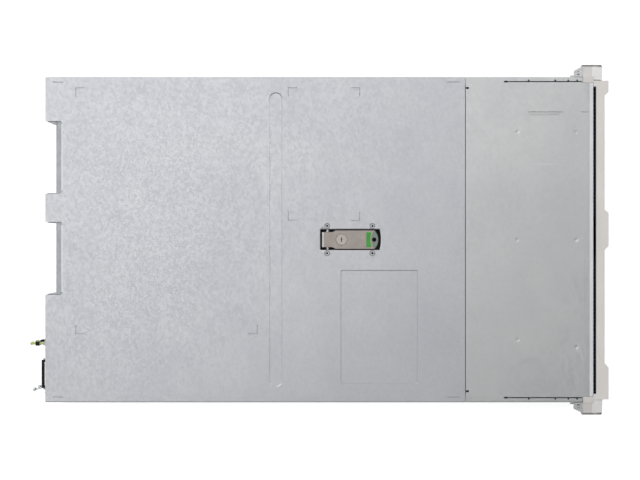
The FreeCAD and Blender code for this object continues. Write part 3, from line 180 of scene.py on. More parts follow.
M = {
    # Galvanised cover sheet: pale blue-grey zinc, satin, with small even crystals.
    "cover_steel": spangled("galvanised_cover_sheet", "#D1D2D5", "#CBCCD0", "#BCBDC1", 0.70, 0.46, 3.2),
    # Galvanised front sheet: a little greener and more mottled than the cover.
    "front_sheet": spangled("galvanised_front_sheet", "#D7D9D8", "#CFD1D1", "#BFC1C2", 0.70, 0.44, 4.5),
    # Painted highlight on the bent edges of both top sheets and on the pin's collars: a pale zinc tone that
    # stands in for the light they catch.
    "bent_edge": finish("zinc_bend_painted_highlight", "#F3F4F5", "#E9EBED", 0.40, 30, 0.8, 0.05, metallic=0.15),
    # Painted shade on the outer side of the ears: a dark sloped strip that stands in for the shaded rounded
    # edge.
    "ear_guard": finish("ear_edge_painted_shade_sheet", "#6B6863", "#5D5A55", 0.45, 12, 0.7, 0.05),
    # Pan and inner cages: the same zinc, darker on the folded inner parts.
    "pan_steel": spangled("galvanised_pan_sheet", "#B4B7BA", "#A8ACAF", "#989C9F", 0.65, 0.46, 5.0),
    # Zinc-plated cage sheet: brighter, no crystals.
    "cage_steel": finish("zinc_plated_sheet", "#9A9C9E", "#8C8E91", 0.40, 60, 0.9, metallic=0.85),
    # Moulded polycarbonate blend, warm off-white with a fine spark-eroded texture.
    "bezel_plastic": finish("bezel_off_white_moulded", "#EBE7E2", "#E4E0DA", 0.50, 40, 0.9, 0.10),
    # Ear caps: the same moulding, slightly greyer.
    "ear_plastic": finish("ear_off_white_moulded", "#E1DEDA", "#D9D6D1", 0.46, 30, 0.9, 0.10),
    # Ear front: the same moulding, painted lighter where the front facets catch the light.
    "ear_front": finish("ear_front_moulded_painted_light", "#F6F4F1", "#F0EEEA", 0.38, 30, 0.9, 0.05),
    # Painted shade, near black and matt: on the vent strip in the gap behind the bezel, and under the panel's
    # slits.
    "seal_plastic": finish("gap_painted_shade_black", "#020202", "#050505", 0.95, 8, 0.8, 0.2, swing=0.03,
                           specular=0.05),
    # Push buttons: light grey ABS, moulded, a soft sheen.
    "button_plastic": finish("button_moulded", "#C9C9C6", "#BDBDBA", 0.38, 10, 0.6, 0.05),
    # Well: black moulded nylon with a light texture.
    "well_plastic": finish("latch_well_black_nylon", "#0B0B0C", "#121213", 0.55, 12, 0.7, 0.15),
    # Lever: taupe moulding, satin, faint flow marks along its length.
    "lever_plastic": finish("latch_lever_taupe_moulded", "#B3AAA3", "#A79E97", 0.40, 9, 0.7, 0.08,
                            stretch=(1, 0.3, 1)),
    # Lever tip: grey-green moulding, a little glossier than the lever.
    "lever_tip": finish("latch_tip_grey_green_moulded", "#8A9A8C", "#7D8C80", 0.35, 8, 0.7, 0.08),
    # Touch point: saturated green moulding.
    "grip_plastic": finish("touch_point_green_moulded", "#3FAB33", "#369D2B", 0.38, 8, 0.6, 0.06),
    # Drawn bright steel of pins, screws and wire.
    "bright_steel": brushed("bright_drawn_steel", "#C9C9CA", "#B5B5B6", 0.22, 0.25, 1),
    # Turned steel of the lock screw: warm grey with fine lathe lines.
    "screw_steel": brushed("turned_screw_steel", "#BCB4AD", "#B2AAA2", 0.40, 0.3, 0),
    # Stamped steel of the slam latches and ear brackets' hooks: grey, with lines down its height.
    "hook_steel": brushed("stamped_hook_steel", "#A7A6A4", "#8E8D8B", 0.34, 0.4, 2),
    # Painted shade, dark brown: rings in the gaps round the rivets and the lock, and the lock's slot and centre.
    "seam": finish("groove_painted_shade_brown", "#443B34", "#382F29", 0.6, 4, 0.5, 0.0),
    # Painted highlight on the rounded heel of the lever, where it faces the light.
    "lever_heel": finish("lever_heel_polished", "#F0ECE8", "#E6E1DC", 0.3, 6, 0.6, 0.03),
    # Pull-out tag: mid-grey ABS, moulded, satin.
    "tag_plastic": finish("asset_tag_grey_moulded", "#6E7072", "#656769", 0.42, 20, 0.7),
    # Bay blanks: charcoal ABS, moulded, matt.
    "blank_plastic": finish("bay_blank_charcoal_moulded", "#3C3D3F", "#343537", 0.50, 18, 0.7),
    # Carrier trays: charcoal nylon, moulded, matt.
    "carrier_plastic": finish("carrier_charcoal_moulded", "#37383A", "#2F3032", 0.48, 18, 0.7),
    # Ejector levers: pale grey nylon, moulded, satin.
    "ejector_plastic": finish("ejector_grey_moulded", "#A5A39E", "#9A9893", 0.42, 14, 0.7),
    # Drive: cast and machined aluminium block with a stamped lid.
    "drive_metal": brushed("drive_machined_aluminium", "#B9BBBD", "#A5A7A9", 0.34, 0.4, 1),
    # Main board: green solder mask, copper traces just showing.
    "board": circuit_board("green_solder_mask_board", "#0F4A2B", "#1C6B3F", 1.4),
    # Memory modules: darker green mask with finer traces.
    "memory_board": circuit_board("green_memory_board", "#0E3F28", "#17553A", 1.0),
    # Heatsink fins: bare rolled aluminium, bright, with lines along the fin.
    "fin_aluminium": brushed("bare_fin_aluminium", "#C8CACC", "#B4B6B9", 0.30, 0.4, 1),
    # Air baffle: black polycarbonate, moulded, matt.
    "baffle_plastic": finish("baffle_black_moulded", "#17181A", "#101112", 0.52, 25, 0.9),
    # Fans: black moulded plastic, smooth, with a low sheen.
    "fan_plastic": finish("fan_black_moulded", "#141415", "#0E0E0F", 0.42, 15, 0.7, 0.05),
    # Port shells: nickel-plated stamped steel, bright and warm.
    "port_shell": brushed("plated_port_shell", "#C4C2BD", "#ADABA6", 0.26, 0.3, 1),
    # Power supply case: zinc-plated sheet, brushed, satin.
    "psu_steel": brushed("plated_psu_sheet", "#AEB0B2", "#9EA0A3", 0.40, 0.5, 1),
    # Handles: black nylon, moulded, dark and even.
    "handle_plastic": finish("handle_black_moulded", "#151315", "#0E0C0E", 0.36, 12, 0.6, 0.05, specular=0.2),
    # Release levers and buttons: lime ABS, moulded, satin.
    "release_plastic": finish("release_lime_moulded", "#C9DC7C", "#BDD26E", 0.36, 8, 0.6, 0.05),
    # Port inserts: black moulded plastic, matt.
    "black_port": finish("port_insert_black_moulded", "#0A0A0B", "#101011", 0.5, 6, 0.5),
    # Contacts: gold plating, bright yellow.
    "gold": brushed("gold_plated_contact", "#D9B25A", "#C79F49", 0.25, 0.2, 1),
    # Painted shade in the bottoms of openings and on discs where vent holes are: near black, no gloss.
    "dark_gap": finish("shadowed_opening_black", "#050505", "#080808", 0.8, 10, 1.0, 0.0),
    # Chips and cable jackets: black moulded epoxy or vinyl, satin.
    "chip": finish("chip_epoxy_black", "#1B1C1D", "#151617", 0.42, 6, 0.5, 0.05),
    # Lamps of the power button, drives, power supplies and network ports: clear plastic lit green.
    "lamp_green": glow("status_lamp_green", "#58E06A", 1.2),
    # Identification lamp and the drives' second lamp: clear plastic lit blue.
    "lamp_blue": glow("identification_lamp_blue", "#4C8DFF", 1.0),
}


# ---------------------------------------------------------------- mesh helpers

def linked(name, data):
    """A new object in the scene."""
    made = bpy.data.objects.new(name, data)
    bpy.context.scene.collection.objects.link(made)
    return made


def mesh_of(bm, name):
    """A mesh from a bmesh, which is freed."""
    mesh = bpy.data.meshes.new(name)
    bm.to_mesh(mesh)
    bm.free()
    return mesh


def evaluated_mesh(thing):
    graph = bpy.context.evaluated_depsgraph_get()
    return bpy.data.meshes.new_from_object(thing.evaluated_get(graph))


def new_piece(name, mesh, body, material, replaces=()):
    """A finished piece at the origin that rides on a body. material is a key of M, or a list of keys."""
    piece = linked(name, mesh)
    mesh.materials.clear()
    for key in ([material] if isinstance(material, str) else material):
        mesh.materials.append(M[key])
    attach(piece, body)
    if replaces:
        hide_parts(*replaces)
    return piece


def baked(piece):
    """Applies a piece's modifiers by swapping in the evaluated mesh."""
    mesh = evaluated_mesh(piece)
    piece.modifiers.clear()
    piece.data = mesh
    return piece


def even_shading(piece, angle=40):
    """Flat faces stay flat and only the edge radii and round walls shade smoothly."""
    for poly in piece.data.polygons:
        poly.use_smooth = True
    piece.data.set_sharp_from_angle(angle=math.radians(angle))
    weight = piece.modifiers.new("even_shading", "WEIGHTED_NORMAL")
    weight.keep_sharp = True
    return baked(piece)


def soft_edges(piece, width_mm):
    """Small radius on every sharp edge, as moulding and folding leave it."""
    bevel = piece.modifiers.new("edge_radius", "BEVEL")
    bevel.width = width_mm * MM
    bevel.segments = 2
    bevel.limit_method = "ANGLE"
    bevel.angle_limit = math.radians(35)
    bevel.use_clamp_overlap = True
    return even_shading(baked(piece))


def merged_copy(node):
    """Copy of a CAD node's mesh with its loose triangles joined and flat faces made whole."""
    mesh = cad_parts[node].data.copy()
    bm = bmesh.new()
    bm.from_mesh(mesh)
    bmesh.ops.remove_doubles(bm, verts=bm.verts, dist=2e-6)
    bmesh.ops.dissolve_limit(bm, angle_limit=math.radians(0.5), verts=bm.verts, edges=bm.edges)
    bm.to_mesh(mesh)
    bm.free()
    return mesh


def softened(node, body, slot, width_mm, material=None):
    """A CAD node, moved as MOVES says, with small edge radii. Its finish is the slot's own unless named."""
    mesh = merged_copy(node)
    if node in MOVES:
        for v in mesh.vertices:
            v.co = Vector(MOVES[node](*(v.co / MM))) * MM
    return soft_edges(new_piece(node + "_finished", mesh, body, material or slot, [node]), width_mm)


def arc(cx, cy, r, start, end, steps):
    turns = [math.radians(start + (end - start) * i / steps) for i in range(steps + 1)]
    return [(cx + r * math.cos(a), cy + r * math.sin(a)) for a in turns]


def rounded_rect(x0, x1, y0, y1, r, steps=5):
    return (arc(x1 - r, y1 - r, r, 0, 90, steps) + arc(x0 + r, y1 - r, r, 90, 180, steps)
            + arc(x0 + r, y0 + r, r, 180, 270, steps) + arc(x1 - r, y0 + r, r, 270, 360, steps))


def circle(cx, cy, r, steps=20):
    return arc(cx, cy, r, 0, 360, steps)[:-1]


def inside(point, loop):
    x, y = point
    hit = False
    for (x0, y0), (x1, y1) in zip(loop, loop[1:] + loop[:1]):
        if (y0 > y) != (y1 > y) and x < (x1 - x0) * (y - y0) / (y1 - y0) + x0:
            hit = not hit
    return hit


def face_up(bm):
    bmesh.ops.recalc_face_normals(bm, faces=bm.faces)
    if sum(f.normal.z * f.calc_area() for f in bm.faces) < 0:
        bmesh.ops.reverse_faces(bm, faces=bm.faces)


def pressed_sheet(outline, holes, forms, z=TOP, creases=()):
    """Flat sheet with holes and pressed forms, as a bmesh in metres.

    A form is (outer loop, inner loop, depth): the sheet slopes from the outer loop to the inner one.
    """
    loops = [outline] + list(holes)
    for outer, inner, _ in forms:
        loops += [outer, inner]
    points, edges = [], []
    for loop in loops:
        first = len(points)
        points += [Vector(p) for p in loop]
        edges += [(first + i, first + (i + 1) % len(loop)) for i in range(len(loop))]
    for crease in creases:
        points += [Vector(p) for p in crease]
        edges.append((len(points) - 2, len(points) - 1))
    flat, _, faces, _, _, _ = delaunay_2d_cdt(points, edges, [], 0, 1e-5)
    level = {}
    for outer, inner, depth in forms:
        for p in inner:
            level[(round(p[0], 3), round(p[1], 3))] = depth
    bm = bmesh.new()
    made = [bm.verts.new((p.x * MM, p.y * MM, (z + level.get((round(p.x, 3), round(p.y, 3)), 0)) * MM))
            for p in flat]
    for face in faces:
        mid = (sum(flat[i].x for i in face) / len(face), sum(flat[i].y for i in face) / len(face))
        if not inside(mid, outline) or any(inside(mid, h) for h in holes):
            continue
        bm.faces.new([made[i] for i in face])
    bmesh.ops.delete(bm, geom=[v for v in bm.verts if not v.link_faces], context="VERTS")
    face_up(bm)
    return bm


def fold_down(bm, on_edge, outward, radius, drop):
    """Bends the sheet down along the open edges that on_edge picks, then carries it straight down."""
    steps = 4
    rim = [e for e in bm.edges if e.is_boundary and all(on_edge(v.co / MM) for v in e.verts)]
    moves = []
    for i in range(steps):
        a0, a1 = math.pi / 2 * i / steps, math.pi / 2 * (i + 1) / steps
        moves.append((radius * (math.sin(a1) - math.sin(a0)), -radius * (math.cos(a0) - math.cos(a1))))
    moves.append((0.0, -(drop - radius)))
    for out, down in moves:
        grown = bmesh.ops.extrude_edge_only(bm, edges=rim)["geom"]
        verts = [g for g in grown if isinstance(g, bmesh.types.BMVert)]
        for v in verts:
            v.co += Vector((outward[0] * out, outward[1] * out, down)) * MM
        rim = [g for g in grown if isinstance(g, bmesh.types.BMEdge) and g.is_boundary
               and all(v in verts for v in g.verts)]


def fold_sides(bm):
    """Both long sides of a top sheet."""
    for s in (1, -1):
        fold_down(bm, lambda p: abs(p.x - s * EDGE_X) < 0.01, (s, 0), BEND, SIDE_FLANGE)


def thick_sheet(bm, name, body, material, replaces, thickness=SHEET):
    face_up(bm)
    piece = new_piece(name, mesh_of(bm, name), body, material, replaces)
    solid = piece.modifiers.new("thickness", "SOLIDIFY")
    solid.thickness = thickness * MM
    solid.offset = -1
    solid.use_even_offset = True
    return even_shading(baked(piece), 25)


def block(x0, x1, y0, y1, z0, z1):
    bm = bmesh.new()
    bmesh.ops.create_cube(bm, size=1)
    for v in bm.verts:
        v.co = Vector(((x0 + x1) / 2 + v.co.x * (x1 - x0), (y0 + y1) / 2 + v.co.y * (y1 - y0),
                       (z0 + z1) / 2 + v.co.z * (z1 - z0))) * MM
    return bm


def chamfered(bm, width_mm):
    bmesh.ops.bevel(bm, geom=bm.edges[:], offset=width_mm * MM, segments=1, affect="EDGES")
    return bm


def lathe(profile, steps=14, axis=(0, 0, 1), at=(0, 0, 0)):
    """Turned part: profile points (radius, height) swept round the axis, then moved."""
    bm = bmesh.new()
    rings = []
    for r, h in profile:
        if r < 1e-6:
            rings.append([bm.verts.new((0, 0, h * MM))])
        else:
            rings.append([bm.verts.new((x * MM, y * MM, h * MM)) for x, y in circle(0, 0, r, steps)])
    for low, high in zip(rings, rings[1:]):
        for i in range(steps):
            j = (i + 1) % steps
            corners = [low[i % len(low)], low[j % len(low)], high[j % len(high)], high[i % len(high)]]
            bm.faces.new(list(dict.fromkeys(corners)))
    bmesh.ops.recalc_face_normals(bm, faces=bm.faces)
    turn = Vector((0, 0, 1)).rotation_difference(Vector(axis)).to_matrix()
    bmesh.ops.rotate(bm, verts=bm.verts, matrix=turn)
    bmesh.ops.translate(bm, verts=bm.verts, vec=Vector(at) * MM)
    return bm


def merged(parts):
    """Several bmeshes as one."""
    whole = bmesh.new()
    for part in parts:
        scratch = mesh_of(part, "scratch")
        whole.from_mesh(scratch)
        bpy.data.meshes.remove(scratch)
    return whole


def shaped(bm, name, body, material, width_mm=0.0, replaces=()):
    piece = new_piece(name, mesh_of(bm, name), body, material, replaces)
    return soft_edges(piece, width_mm) if width_mm else even_shading(piece)


def repeat_tree():
    """Geometry nodes: one item on every place, made real, with its finish."""
    tree = bpy.data.node_groups.new("repeat_on_places", "GeometryNodeTree")
    for socket, kind in (("Places", "Geometry"), ("Item", "Object"), ("Finish", "Material")):
        tree.interface.new_socket(socket, in_out="INPUT", socket_type="NodeSocket" + kind)
    tree.interface.new_socket("Geometry", in_out="OUTPUT", socket_type="NodeSocketGeometry")
    start = add(tree, "NodeGroupInput")
    item = add(tree, "GeometryNodeObjectInfo", {"Object": start.outputs["Item"]})
    placed = add(tree, "GeometryNodeInstanceOnPoints", {"Points": start.outputs["Places"],
                                                        "Instance": item.outputs["Geometry"]})
    real = add(tree, "GeometryNodeRealizeInstances", {"Geometry": placed.outputs[0]})
    done = add(tree, "GeometryNodeSetMaterial", {"Geometry": real.outputs[0],
                                                 "Material": start.outputs["Finish"]})
    add(tree, "NodeGroupOutput", {"Geometry": done.outputs[0]})
    return tree


REPEAT = repeat_tree()


def repeated(item, places, name, body, material, replaces=()):
    """The item's bmesh on every place (x, y, z in mm), as one piece of a body."""
    pattern = linked(name + "_item", mesh_of(item, name + "_item"))
    dots = bpy.data.meshes.new(name + "_places")
    dots.from_pydata([Vector(p) * MM for p in places], [], [])
    carrier = linked(name + "_places", dots)
    nodes = carrier.modifiers.new("repeat", "NODES")
    nodes.node_group = REPEAT
    wanted = {"Item": pattern, "Finish": M[material]}
    for socket in REPEAT.interface.items_tree:
        if socket.in_out == "INPUT" and socket.name in wanted:
            nodes[socket.identifier] = wanted[socket.name]
    bpy.context.view_layer.update()
    mesh = evaluated_mesh(carrier)
    for thing in (pattern, carrier):
        bpy.data.objects.remove(thing)
    return even_shading(new_piece(name, mesh, body, material, replaces))


def hex_field(x0, x1, y0, y1, r, pitch):
    """Hexagonal holes in staggered rows that fill a rectangle."""
    row = pitch * 0.866
    rows = int((y1 - y0 - 2 * r) / row) + 1
    columns = int((x1 - x0 - 2 * r) / pitch) + 1
    xs = (x0 + x1) / 2 - (columns - 1) * pitch / 2
    ys = (y0 + y1) / 2 - (rows - 1) * row / 2
    found = []
    for j in range(rows):
        shift = pitch / 4 if j % 2 else -pitch / 4
        for i in range(columns):
            x = xs + i * pitch + shift
            if x0 + r <= x <= x1 - r:
                found.append(arc(x, ys + j * row, r, 30, 390, 6)[:-1])
    return found


def stand_up(bm, facing):
    """Turns a flat sheet so that its top looks to the rear (+Y) or to the front (-Y)."""
    turn = Matrix.Rotation(math.radians(-90 if facing > 0 else 90), 3, "X")
    bmesh.ops.rotate(bm, verts=bm.verts, matrix=turn)
    return bm


# ---------------------------------------------------------------- top cover

def corner_mark(x, y, sx, sy):
    """L-shaped score: corner at x, y with arms that run sx and sy."""
    arm, w, depth = 11.3, 1.4, -0.7

    def loop(half):
        a, b = arm, half
        pts = [(-b, -b), (a + b, -b), (a + b, b), (b, b), (b, a + b), (-b, a + b)]
        return [(x + sx * px, y + sy * py) for px, py in pts]
    return (loop(w / 2), loop(w / 6), depth)


def groove(points, w, depth):
    """Straight score between two points."""
    (x0, y0), (x1, y1) = points
    length = math.hypot(x1 - x0, y1 - y0)
    ux, uy = (x1 - x0) / length, (y1 - y0) / length

    def loop(half):
        return [(x0 - ux * half - uy * half * s, y0 - uy * half + ux * half * s) for s in (1, -1)] + \
               [(x1 + ux * half - uy * half * s, y1 + uy * half + ux * half * s) for s in (-1, 1)]
    return (loop(w / 2), loop(w / 6), depth)


def pressed_rect(x0, x1, y0, y1, r, slope, depth):
    """Rectangle with rounded corners whose sloping rim is slope wide."""
    return (rounded_rect(x0, x1, y0, y1, r),
            rounded_rect(x0 + slope, x1 - slope, y0 + slope, y1 - slope, max(r - slope, 0.4)), depth)


def well_loop(half_x, y_rear, y_straight, y_tip):
    """Latch opening: straight sides, bowed front end."""
    sag = y_straight - y_tip
    r = (half_x ** 2 + sag ** 2) / (2 * sag)
    a = math.degrees(math.asin(half_x / r))
    bow = arc(0, y_tip + r, r, 270 + a, 270 - a, 12)
    c = 1.5
    return arc(half_x - c, y_rear - c, c, 90, 0, 3) + bow + arc(-half_x + c, y_rear - c, c, 180, 90, 3)


NOTCH_Y, NOTCH_R = REAR_Y - 23.8, 4.0
outline = [(-EDGE_X, JOINT_Y), (EDGE_X, JOINT_Y), (EDGE_X, REAR_Y)]
for x0, x1 in NOTCHES:
    outline += ([(x1, REAR_Y)] + arc(x1 - NOTCH_R, NOTCH_Y + NOTCH_R, NOTCH_R, 0, -90, 5)
                + arc(x0 + NOTCH_R, NOTCH_Y + NOTCH_R, NOTCH_R, -90, -180, 5) + [(x0, REAR_Y)])
outline += [(-EDGE_X, REAR_Y)]
forms = [
    # Stiffening rib, label field, then the L-shaped scores.
    pressed_rect(-202.8, 202.5, 51.0, 69.0, 8.5, 1.3, -0.9),
    pressed_rect(-198.4, -41.9, -135.2, -29.2, 2.5, 0.8, -1.1),
    corner_mark(208.7, 335.0, -1, -1), corner_mark(-129.5, 335.0, 1, -1), corner_mark(-129.5, 85.5, 1, 1),
    corner_mark(208.8, 42.7, -1, -1), corner_mark(208.8, -55.2, -1, 1), corner_mark(26.0, -55.2, 1, 1),
    corner_mark(26.9, 42.7, 1, -1),
]
for s in (-1, 1):
    for y0, y1 in ((352.9, 366.0), (-176.0, -192.0)):
        forms.append(groove(((s * 216.6, y0), (s * 216.6, y1)), 1.4, -1.0))
well_edge = well_loop(14.3, -1.0, -82.8, -84.7)
holes = [well_edge]
forms.append((well_loop(15.2, -0.1, -83.4, -85.8), well_edge, -0.5))
for x, y in RIVETS:
    rim = circle(x, y, 3.05, 24)
    holes.append(rim)
    forms.append((circle(x, y, 3.45, 24), rim, -0.5))
bm = pressed_sheet(outline, holes, forms)
fold_sides(bm)
fold_down(bm, lambda p: abs(p.y - NOTCH_Y) < 0.01, (0, 1), 2.0, 3.4)
cover_sheet = thick_sheet(bm, "top_cover_sheet", "cover", ["cover_steel", "bent_edge"],
                          ["top_cover"])
# The faces of the rear notches' bend that look up and to the rear get the painted highlight.
for face in cover_sheet.data.polygons:
    if NOTCH_Y * MM < face.center.y < (NOTCH_Y + 2.1) * MM and face.normal.y > 0.1 and face.normal.z > 0.1:
        face.material_index = 1

# ---------------------------------------------------------------- front top panel

PANEL_REAR = JOINT_Y - 0.9
LIP = 2.2        # radius of the bent front edge
HIGHLIGHT_BAND = 5.5       # how far back that edge gets the painted highlight
outline = [(-CORNER_X, FRONT_Y + LIP), (CORNER_X, FRONT_Y + LIP), (CORNER_X, CORNER_Y), (EDGE_X, CORNER_Y),
           (EDGE_X, PANEL_REAR), (-EDGE_X, PANEL_REAR), (-EDGE_X, CORNER_Y), (-CORNER_X, CORNER_Y)]
holes, forms = [], []
for s in (-1, 1):
    holes.append(rounded_rect(s * 217.4 - 0.7, s * 217.4 + 0.7, -361.3, -260.0, 0.4, 2))
    holes.append(rounded_rect(s * 217.4 - 1.1, s * 217.4 + 1.1, -259.4, -254.0, 0.4, 2))
    for y in (-288.0, -324.5, -342.4, -354.6):
        holes.append(circle(s * 219.0, y, 1.3, 8))
    x, y = s * 208.5, PANEL_REAR - 0.3
    holes.append([(x - 1.3, y), (x + 1.3, y), (x + 1.3, y - 3.9), (x - 1.3, y - 3.9)])
for x, y in ((147.7, -272.0), (147.7, -353.0), (-0.5, -272.0), (-0.5, -353.0), (-137.8, -272.8),
             (-147.8, -353.7)):
    forms.append((circle(x, y, 3.6), circle(x, y, 1.7, 12), -0.55))
forms += [groove(((175.6, -288.0), (175.6, -333.6)), 2.0, -1.0),
          groove(((175.6, -361.0), (175.6, -369.6)), 1.6, -0.8),
          groove(((10.6, -365.4), (-168.9, -365.4)), 0.9, -0.3),
          pressed_rect(103.0, 172.6, -331.6, -290.0, 2.0, 0.9, -0.22)]
bm = pressed_sheet(outline, holes, forms, TOP, [((-CORNER_X, FRONT_Y + HIGHLIGHT_BAND), (CORNER_X, FRONT_Y + HIGHLIGHT_BAND))])
for v in bm.verts:
    if v.co.y < (FRONT_Y + LIP) * MM + 1e-6:
        v.co.z -= 0.35 * MM
fold_sides(bm)
fold_down(bm, lambda p: abs(p.y - FRONT_Y - LIP) < 0.01 and abs(p.x) < EDGE_X + 0.01, (0, -1), LIP, 4.5)
front_sheet = thick_sheet(bm, "front_top_sheet", "chassis", ["front_sheet", "bent_edge"],
                          ["front_top_panel"])
# The bent front edge and the band behind it get the painted highlight.
for face in front_sheet.data.polygons:
    if face.center.y < (FRONT_Y + HIGHLIGHT_BAND) * MM and face.normal.z > 0.3:
        face.material_index = 1

# ---------------------------------------------------------------- CAD nodes with softened edges

# Node: body, slot, edge radius in mm, and its finish where that is not the slot's own.
SOFT = {
    "chassis_pan": ("chassis", "pan_steel", 0.25),
    # The vent strip is painted near black: painted shade of the gap behind the bezel.
    "vent_strip": ("chassis", "seal_plastic", 0.3),
    "latch_well": ("cover", "well_plastic", 0.4),
    "latch_lever": ("cover_latch", "lever_plastic", 0.7),
    "latch_grip": ("cover_latch", "grip_plastic", 0.4),
    "latch_lock_screw": ("latch_lock", "screw_steel", 0.3),
    "front_bezel": ("chassis", "bezel_plastic", 0.8),
    "power_button": ("power_button", "button_plastic", 0.3),
    "id_button": ("id_button", "button_plastic", 0.3),
    "asset_tag": ("asset_tag", "tag_plastic", 0.3),
    "right_ear": ("chassis", "bezel_plastic", 0.7, "ear_plastic"),
    "left_ear": ("chassis", "bezel_plastic", 0.7, "ear_plastic"),
    "right_slam_latch": ("right_slam_latch", "hook_steel", 0.5),
    "left_slam_latch": ("left_slam_latch", "hook_steel", 0.5),
    "drive_cage": ("chassis", "cage_steel", 0.15),
    "drive_backplane": ("chassis", "board", 0.15),
    "bay_blanks": ("chassis", "blank_plastic", 0.5),
    "fan_tray": ("chassis", "cage_steel", 0.2),
    "fan_housings": ("chassis", "fan_plastic", 0.5),
    "motherboard": ("chassis", "board", 0.15),
    "memory_modules": ("chassis", "memory_board", 0.15),
    "heatsinks": ("chassis", "fin_aluminium", 0.1),
    "air_baffle": ("chassis", "baffle_plastic", 0.4),
    "riser_cages": ("chassis", "pan_steel", 0.2),
    "riser_boards": ("chassis", "board", 0.2),
    "slot_covers": ("chassis", "cage_steel", 0.15),
    "rear_ports": ("chassis", "port_shell", 0.25),
    "psu_cage": ("chassis", "pan_steel", 0.2),
}
for n in (1, 2):
    for part, slot, width in (("", "psu_steel", 0.35), ("_handle", "handle_plastic", 0.7),
                              ("_release", "release_plastic", 0.5), ("_cord_clip", "bright_steel", 0.2)):
        SOFT["psu_%d" % n + part] = ("psu_%d" % n + part, slot, width)
for i in range(1, 7):
    SOFT["fan_rotor_%d" % i] = ("fan_rotor_%d" % i, "fan_plastic", 0.25)
for i in range(1, 5):
    SOFT["drive_tray_%d" % i] = ("carrier_%d" % i, "carrier_plastic", 0.4)
    SOFT["drive_%d" % i] = ("carrier_%d" % i, "drive_metal", 0.3)
    SOFT["drive_lever_%d" % i] = ("carrier_%d_lever" % i, "ejector_plastic", 0.4)


def sloped_ear(x, y, z):
    """The ear's top falls towards its outer side, and its outer edge draws in."""
    top = max(z - 80.0, 0.0) / 6.5
    x_in = max(abs(x) - 239.0, 0.0) * top
    return math.copysign(abs(x) - x_in, x), y, z - top * (abs(x) - 220.0) * EAR_SLOPE


def short_hook(x, y, z):
    """The hook stays under its bracket."""
    return x, min(y, -363.0) + max(y + 363.0, 0.0) * 0.1, z


def flat_handle(x, y, z):
    """The folded handle lies close to the power supply."""
    return x, min(377.5 + (y - 377.5) * 0.56, 383.9) - (1.2 if 383.0 < y < 387.0 else 0.0), z


def short_release(x, y, z):
    """The release lever ends nearer to the power supply."""
    return x, 377.3 + (y - 377.3) * 0.87, z


def bent_clip(x, y, z):
    """The cord clip leans over towards the inlet."""
    wire = max(396.3 - y, 0.0)
    y = y - 3.0 if y > 396.3 else 377.6 + (y - 377.6) * 0.84
    return x + 1.8 + wire * 0.22, y, z



def set_in(x, y, z):
    """The port row stands a little further in than the wall above it."""
    return x, y - REAR_STEP, z


MOVES = {"rear_ports": set_in, "right_ear": sloped_ear, "left_ear": sloped_ear,
         "right_slam_latch": short_hook, "left_slam_latch": short_hook}
for n in (1, 2):
    MOVES.update({"psu_%d_handle" % n: flat_handle, "psu_%d_release" % n: short_release,
                  "psu_%d_cord_clip" % n: bent_clip})
finished = {node: softened(node, *row) for node, row in SOFT.items()}


def second_finish(node, material, picks):
    """Gives the faces that picks(centre in mm, normal) chooses a second material."""
    mesh = finished[node].data
    mesh.materials.append(M[material])
    for face in mesh.polygons:
        if picks(face.center / MM, face.normal):
            face.material_index = len(mesh.materials) - 1


second_finish("latch_lever", "lever_tip", lambda c, n: c.y < -71.6 and n.z > 0.3 and c.z < 86.0)
# The lever's rounded heel, facing the rear and up, gets the painted highlight.
second_finish("latch_lever", "lever_heel", lambda c, n: c.y > -5.6 and n.y > 0.12 and c.z > 83)
# The ears' front facets get the painted light.
for ear in ("right_ear", "left_ear"):
    second_finish(ear, "ear_front", lambda c, n: c.y < -377.4)
softened("latch_pin", "cover", "bright_steel", 0.1)

# ---------------------------------------------------------------- front details

tooth = chamfered(block(-0.55, 0.55, -380.9, -377.4, 83.8, 84.8), 0.15)
teeth_x = [-209.0 + 5.5 * i for i in range(77)]
repeated(tooth, [(x, 0, 0) for x in teeth_x if not -22.6 < x < 31.3], "vent_teeth", "chassis",
         "blank_plastic")


def side_block(side, x0, x1, *rest):
    """Block at one side of the server, from x0 out to x1."""
    return block(*sorted((side * x0, side * x1)), *rest)


for side, word in ((1, "right"), (-1, "left")):
    corners = [(224.2, -362.5), (224.2, -350.2), (231.8, -349.9), (238.4, -360.6), (238.4, -362.5)]
    slots = [rounded_rect(*sorted((side * x, side * (x + 1.6))), -360.5, -353.5, 0.6, 3) for x in (226.6, 230.4)]
    thick_sheet(pressed_sheet([(side * x, y) for x, y in corners], slots, [], 86.0), word + "_ear_bracket",
                "chassis", "front_sheet", [], 2.0)
    # Cap that closes the head pocket under the ear's sloping top.
    cap = side_block(side, 224.3, 239.4, -389.5, -377.4, 83.0, 86.6)
    for v in cap.verts:
        if v.co.z > 86 * MM:
            v.co.z -= ((abs(v.co.x) / MM - 220.0) * EAR_SLOPE + (1.3 if v.co.y < -389 * MM else 0.0)) * MM
    flange = side_block(side, CORNER_X + 0.4, 224.6, -377.3, CORNER_Y - 0.6, 84.6, 86.7)
    # Painted shade: a dark strip sloping out and down along each ear's outer edge, where the rounded edge falls
    # into shade.
    edge_shade_strip = side_block(side, 238.3, 241.4, -388.9, -362.4, 70.0, 85.45)
    for v in edge_shade_strip.verts:
        if v.co.z > 85 * MM and abs(v.co.x) > 240 * MM:
            v.co.z -= 4.5 * MM
    # The caps get the painted light of the ear fronts.
    for part, name, material in ((cap, "_ear_cap", "ear_front"), (flange, "_ear_inner_flange", "ear_plastic"),
                                 (edge_shade_strip, "_ear_guard", "ear_guard")):
        shaped(part, word + name, "chassis", material, 0.3)
    # Painted shade: a thin near-black sheet on the ledge under the panel's slits.
    shaped(side_block(side, 214.5, 222.0, CORNER_Y - 0.5, -250.0, 85.76, 85.8), word + "_panel_seal_tape",
           "chassis", "seal_plastic")

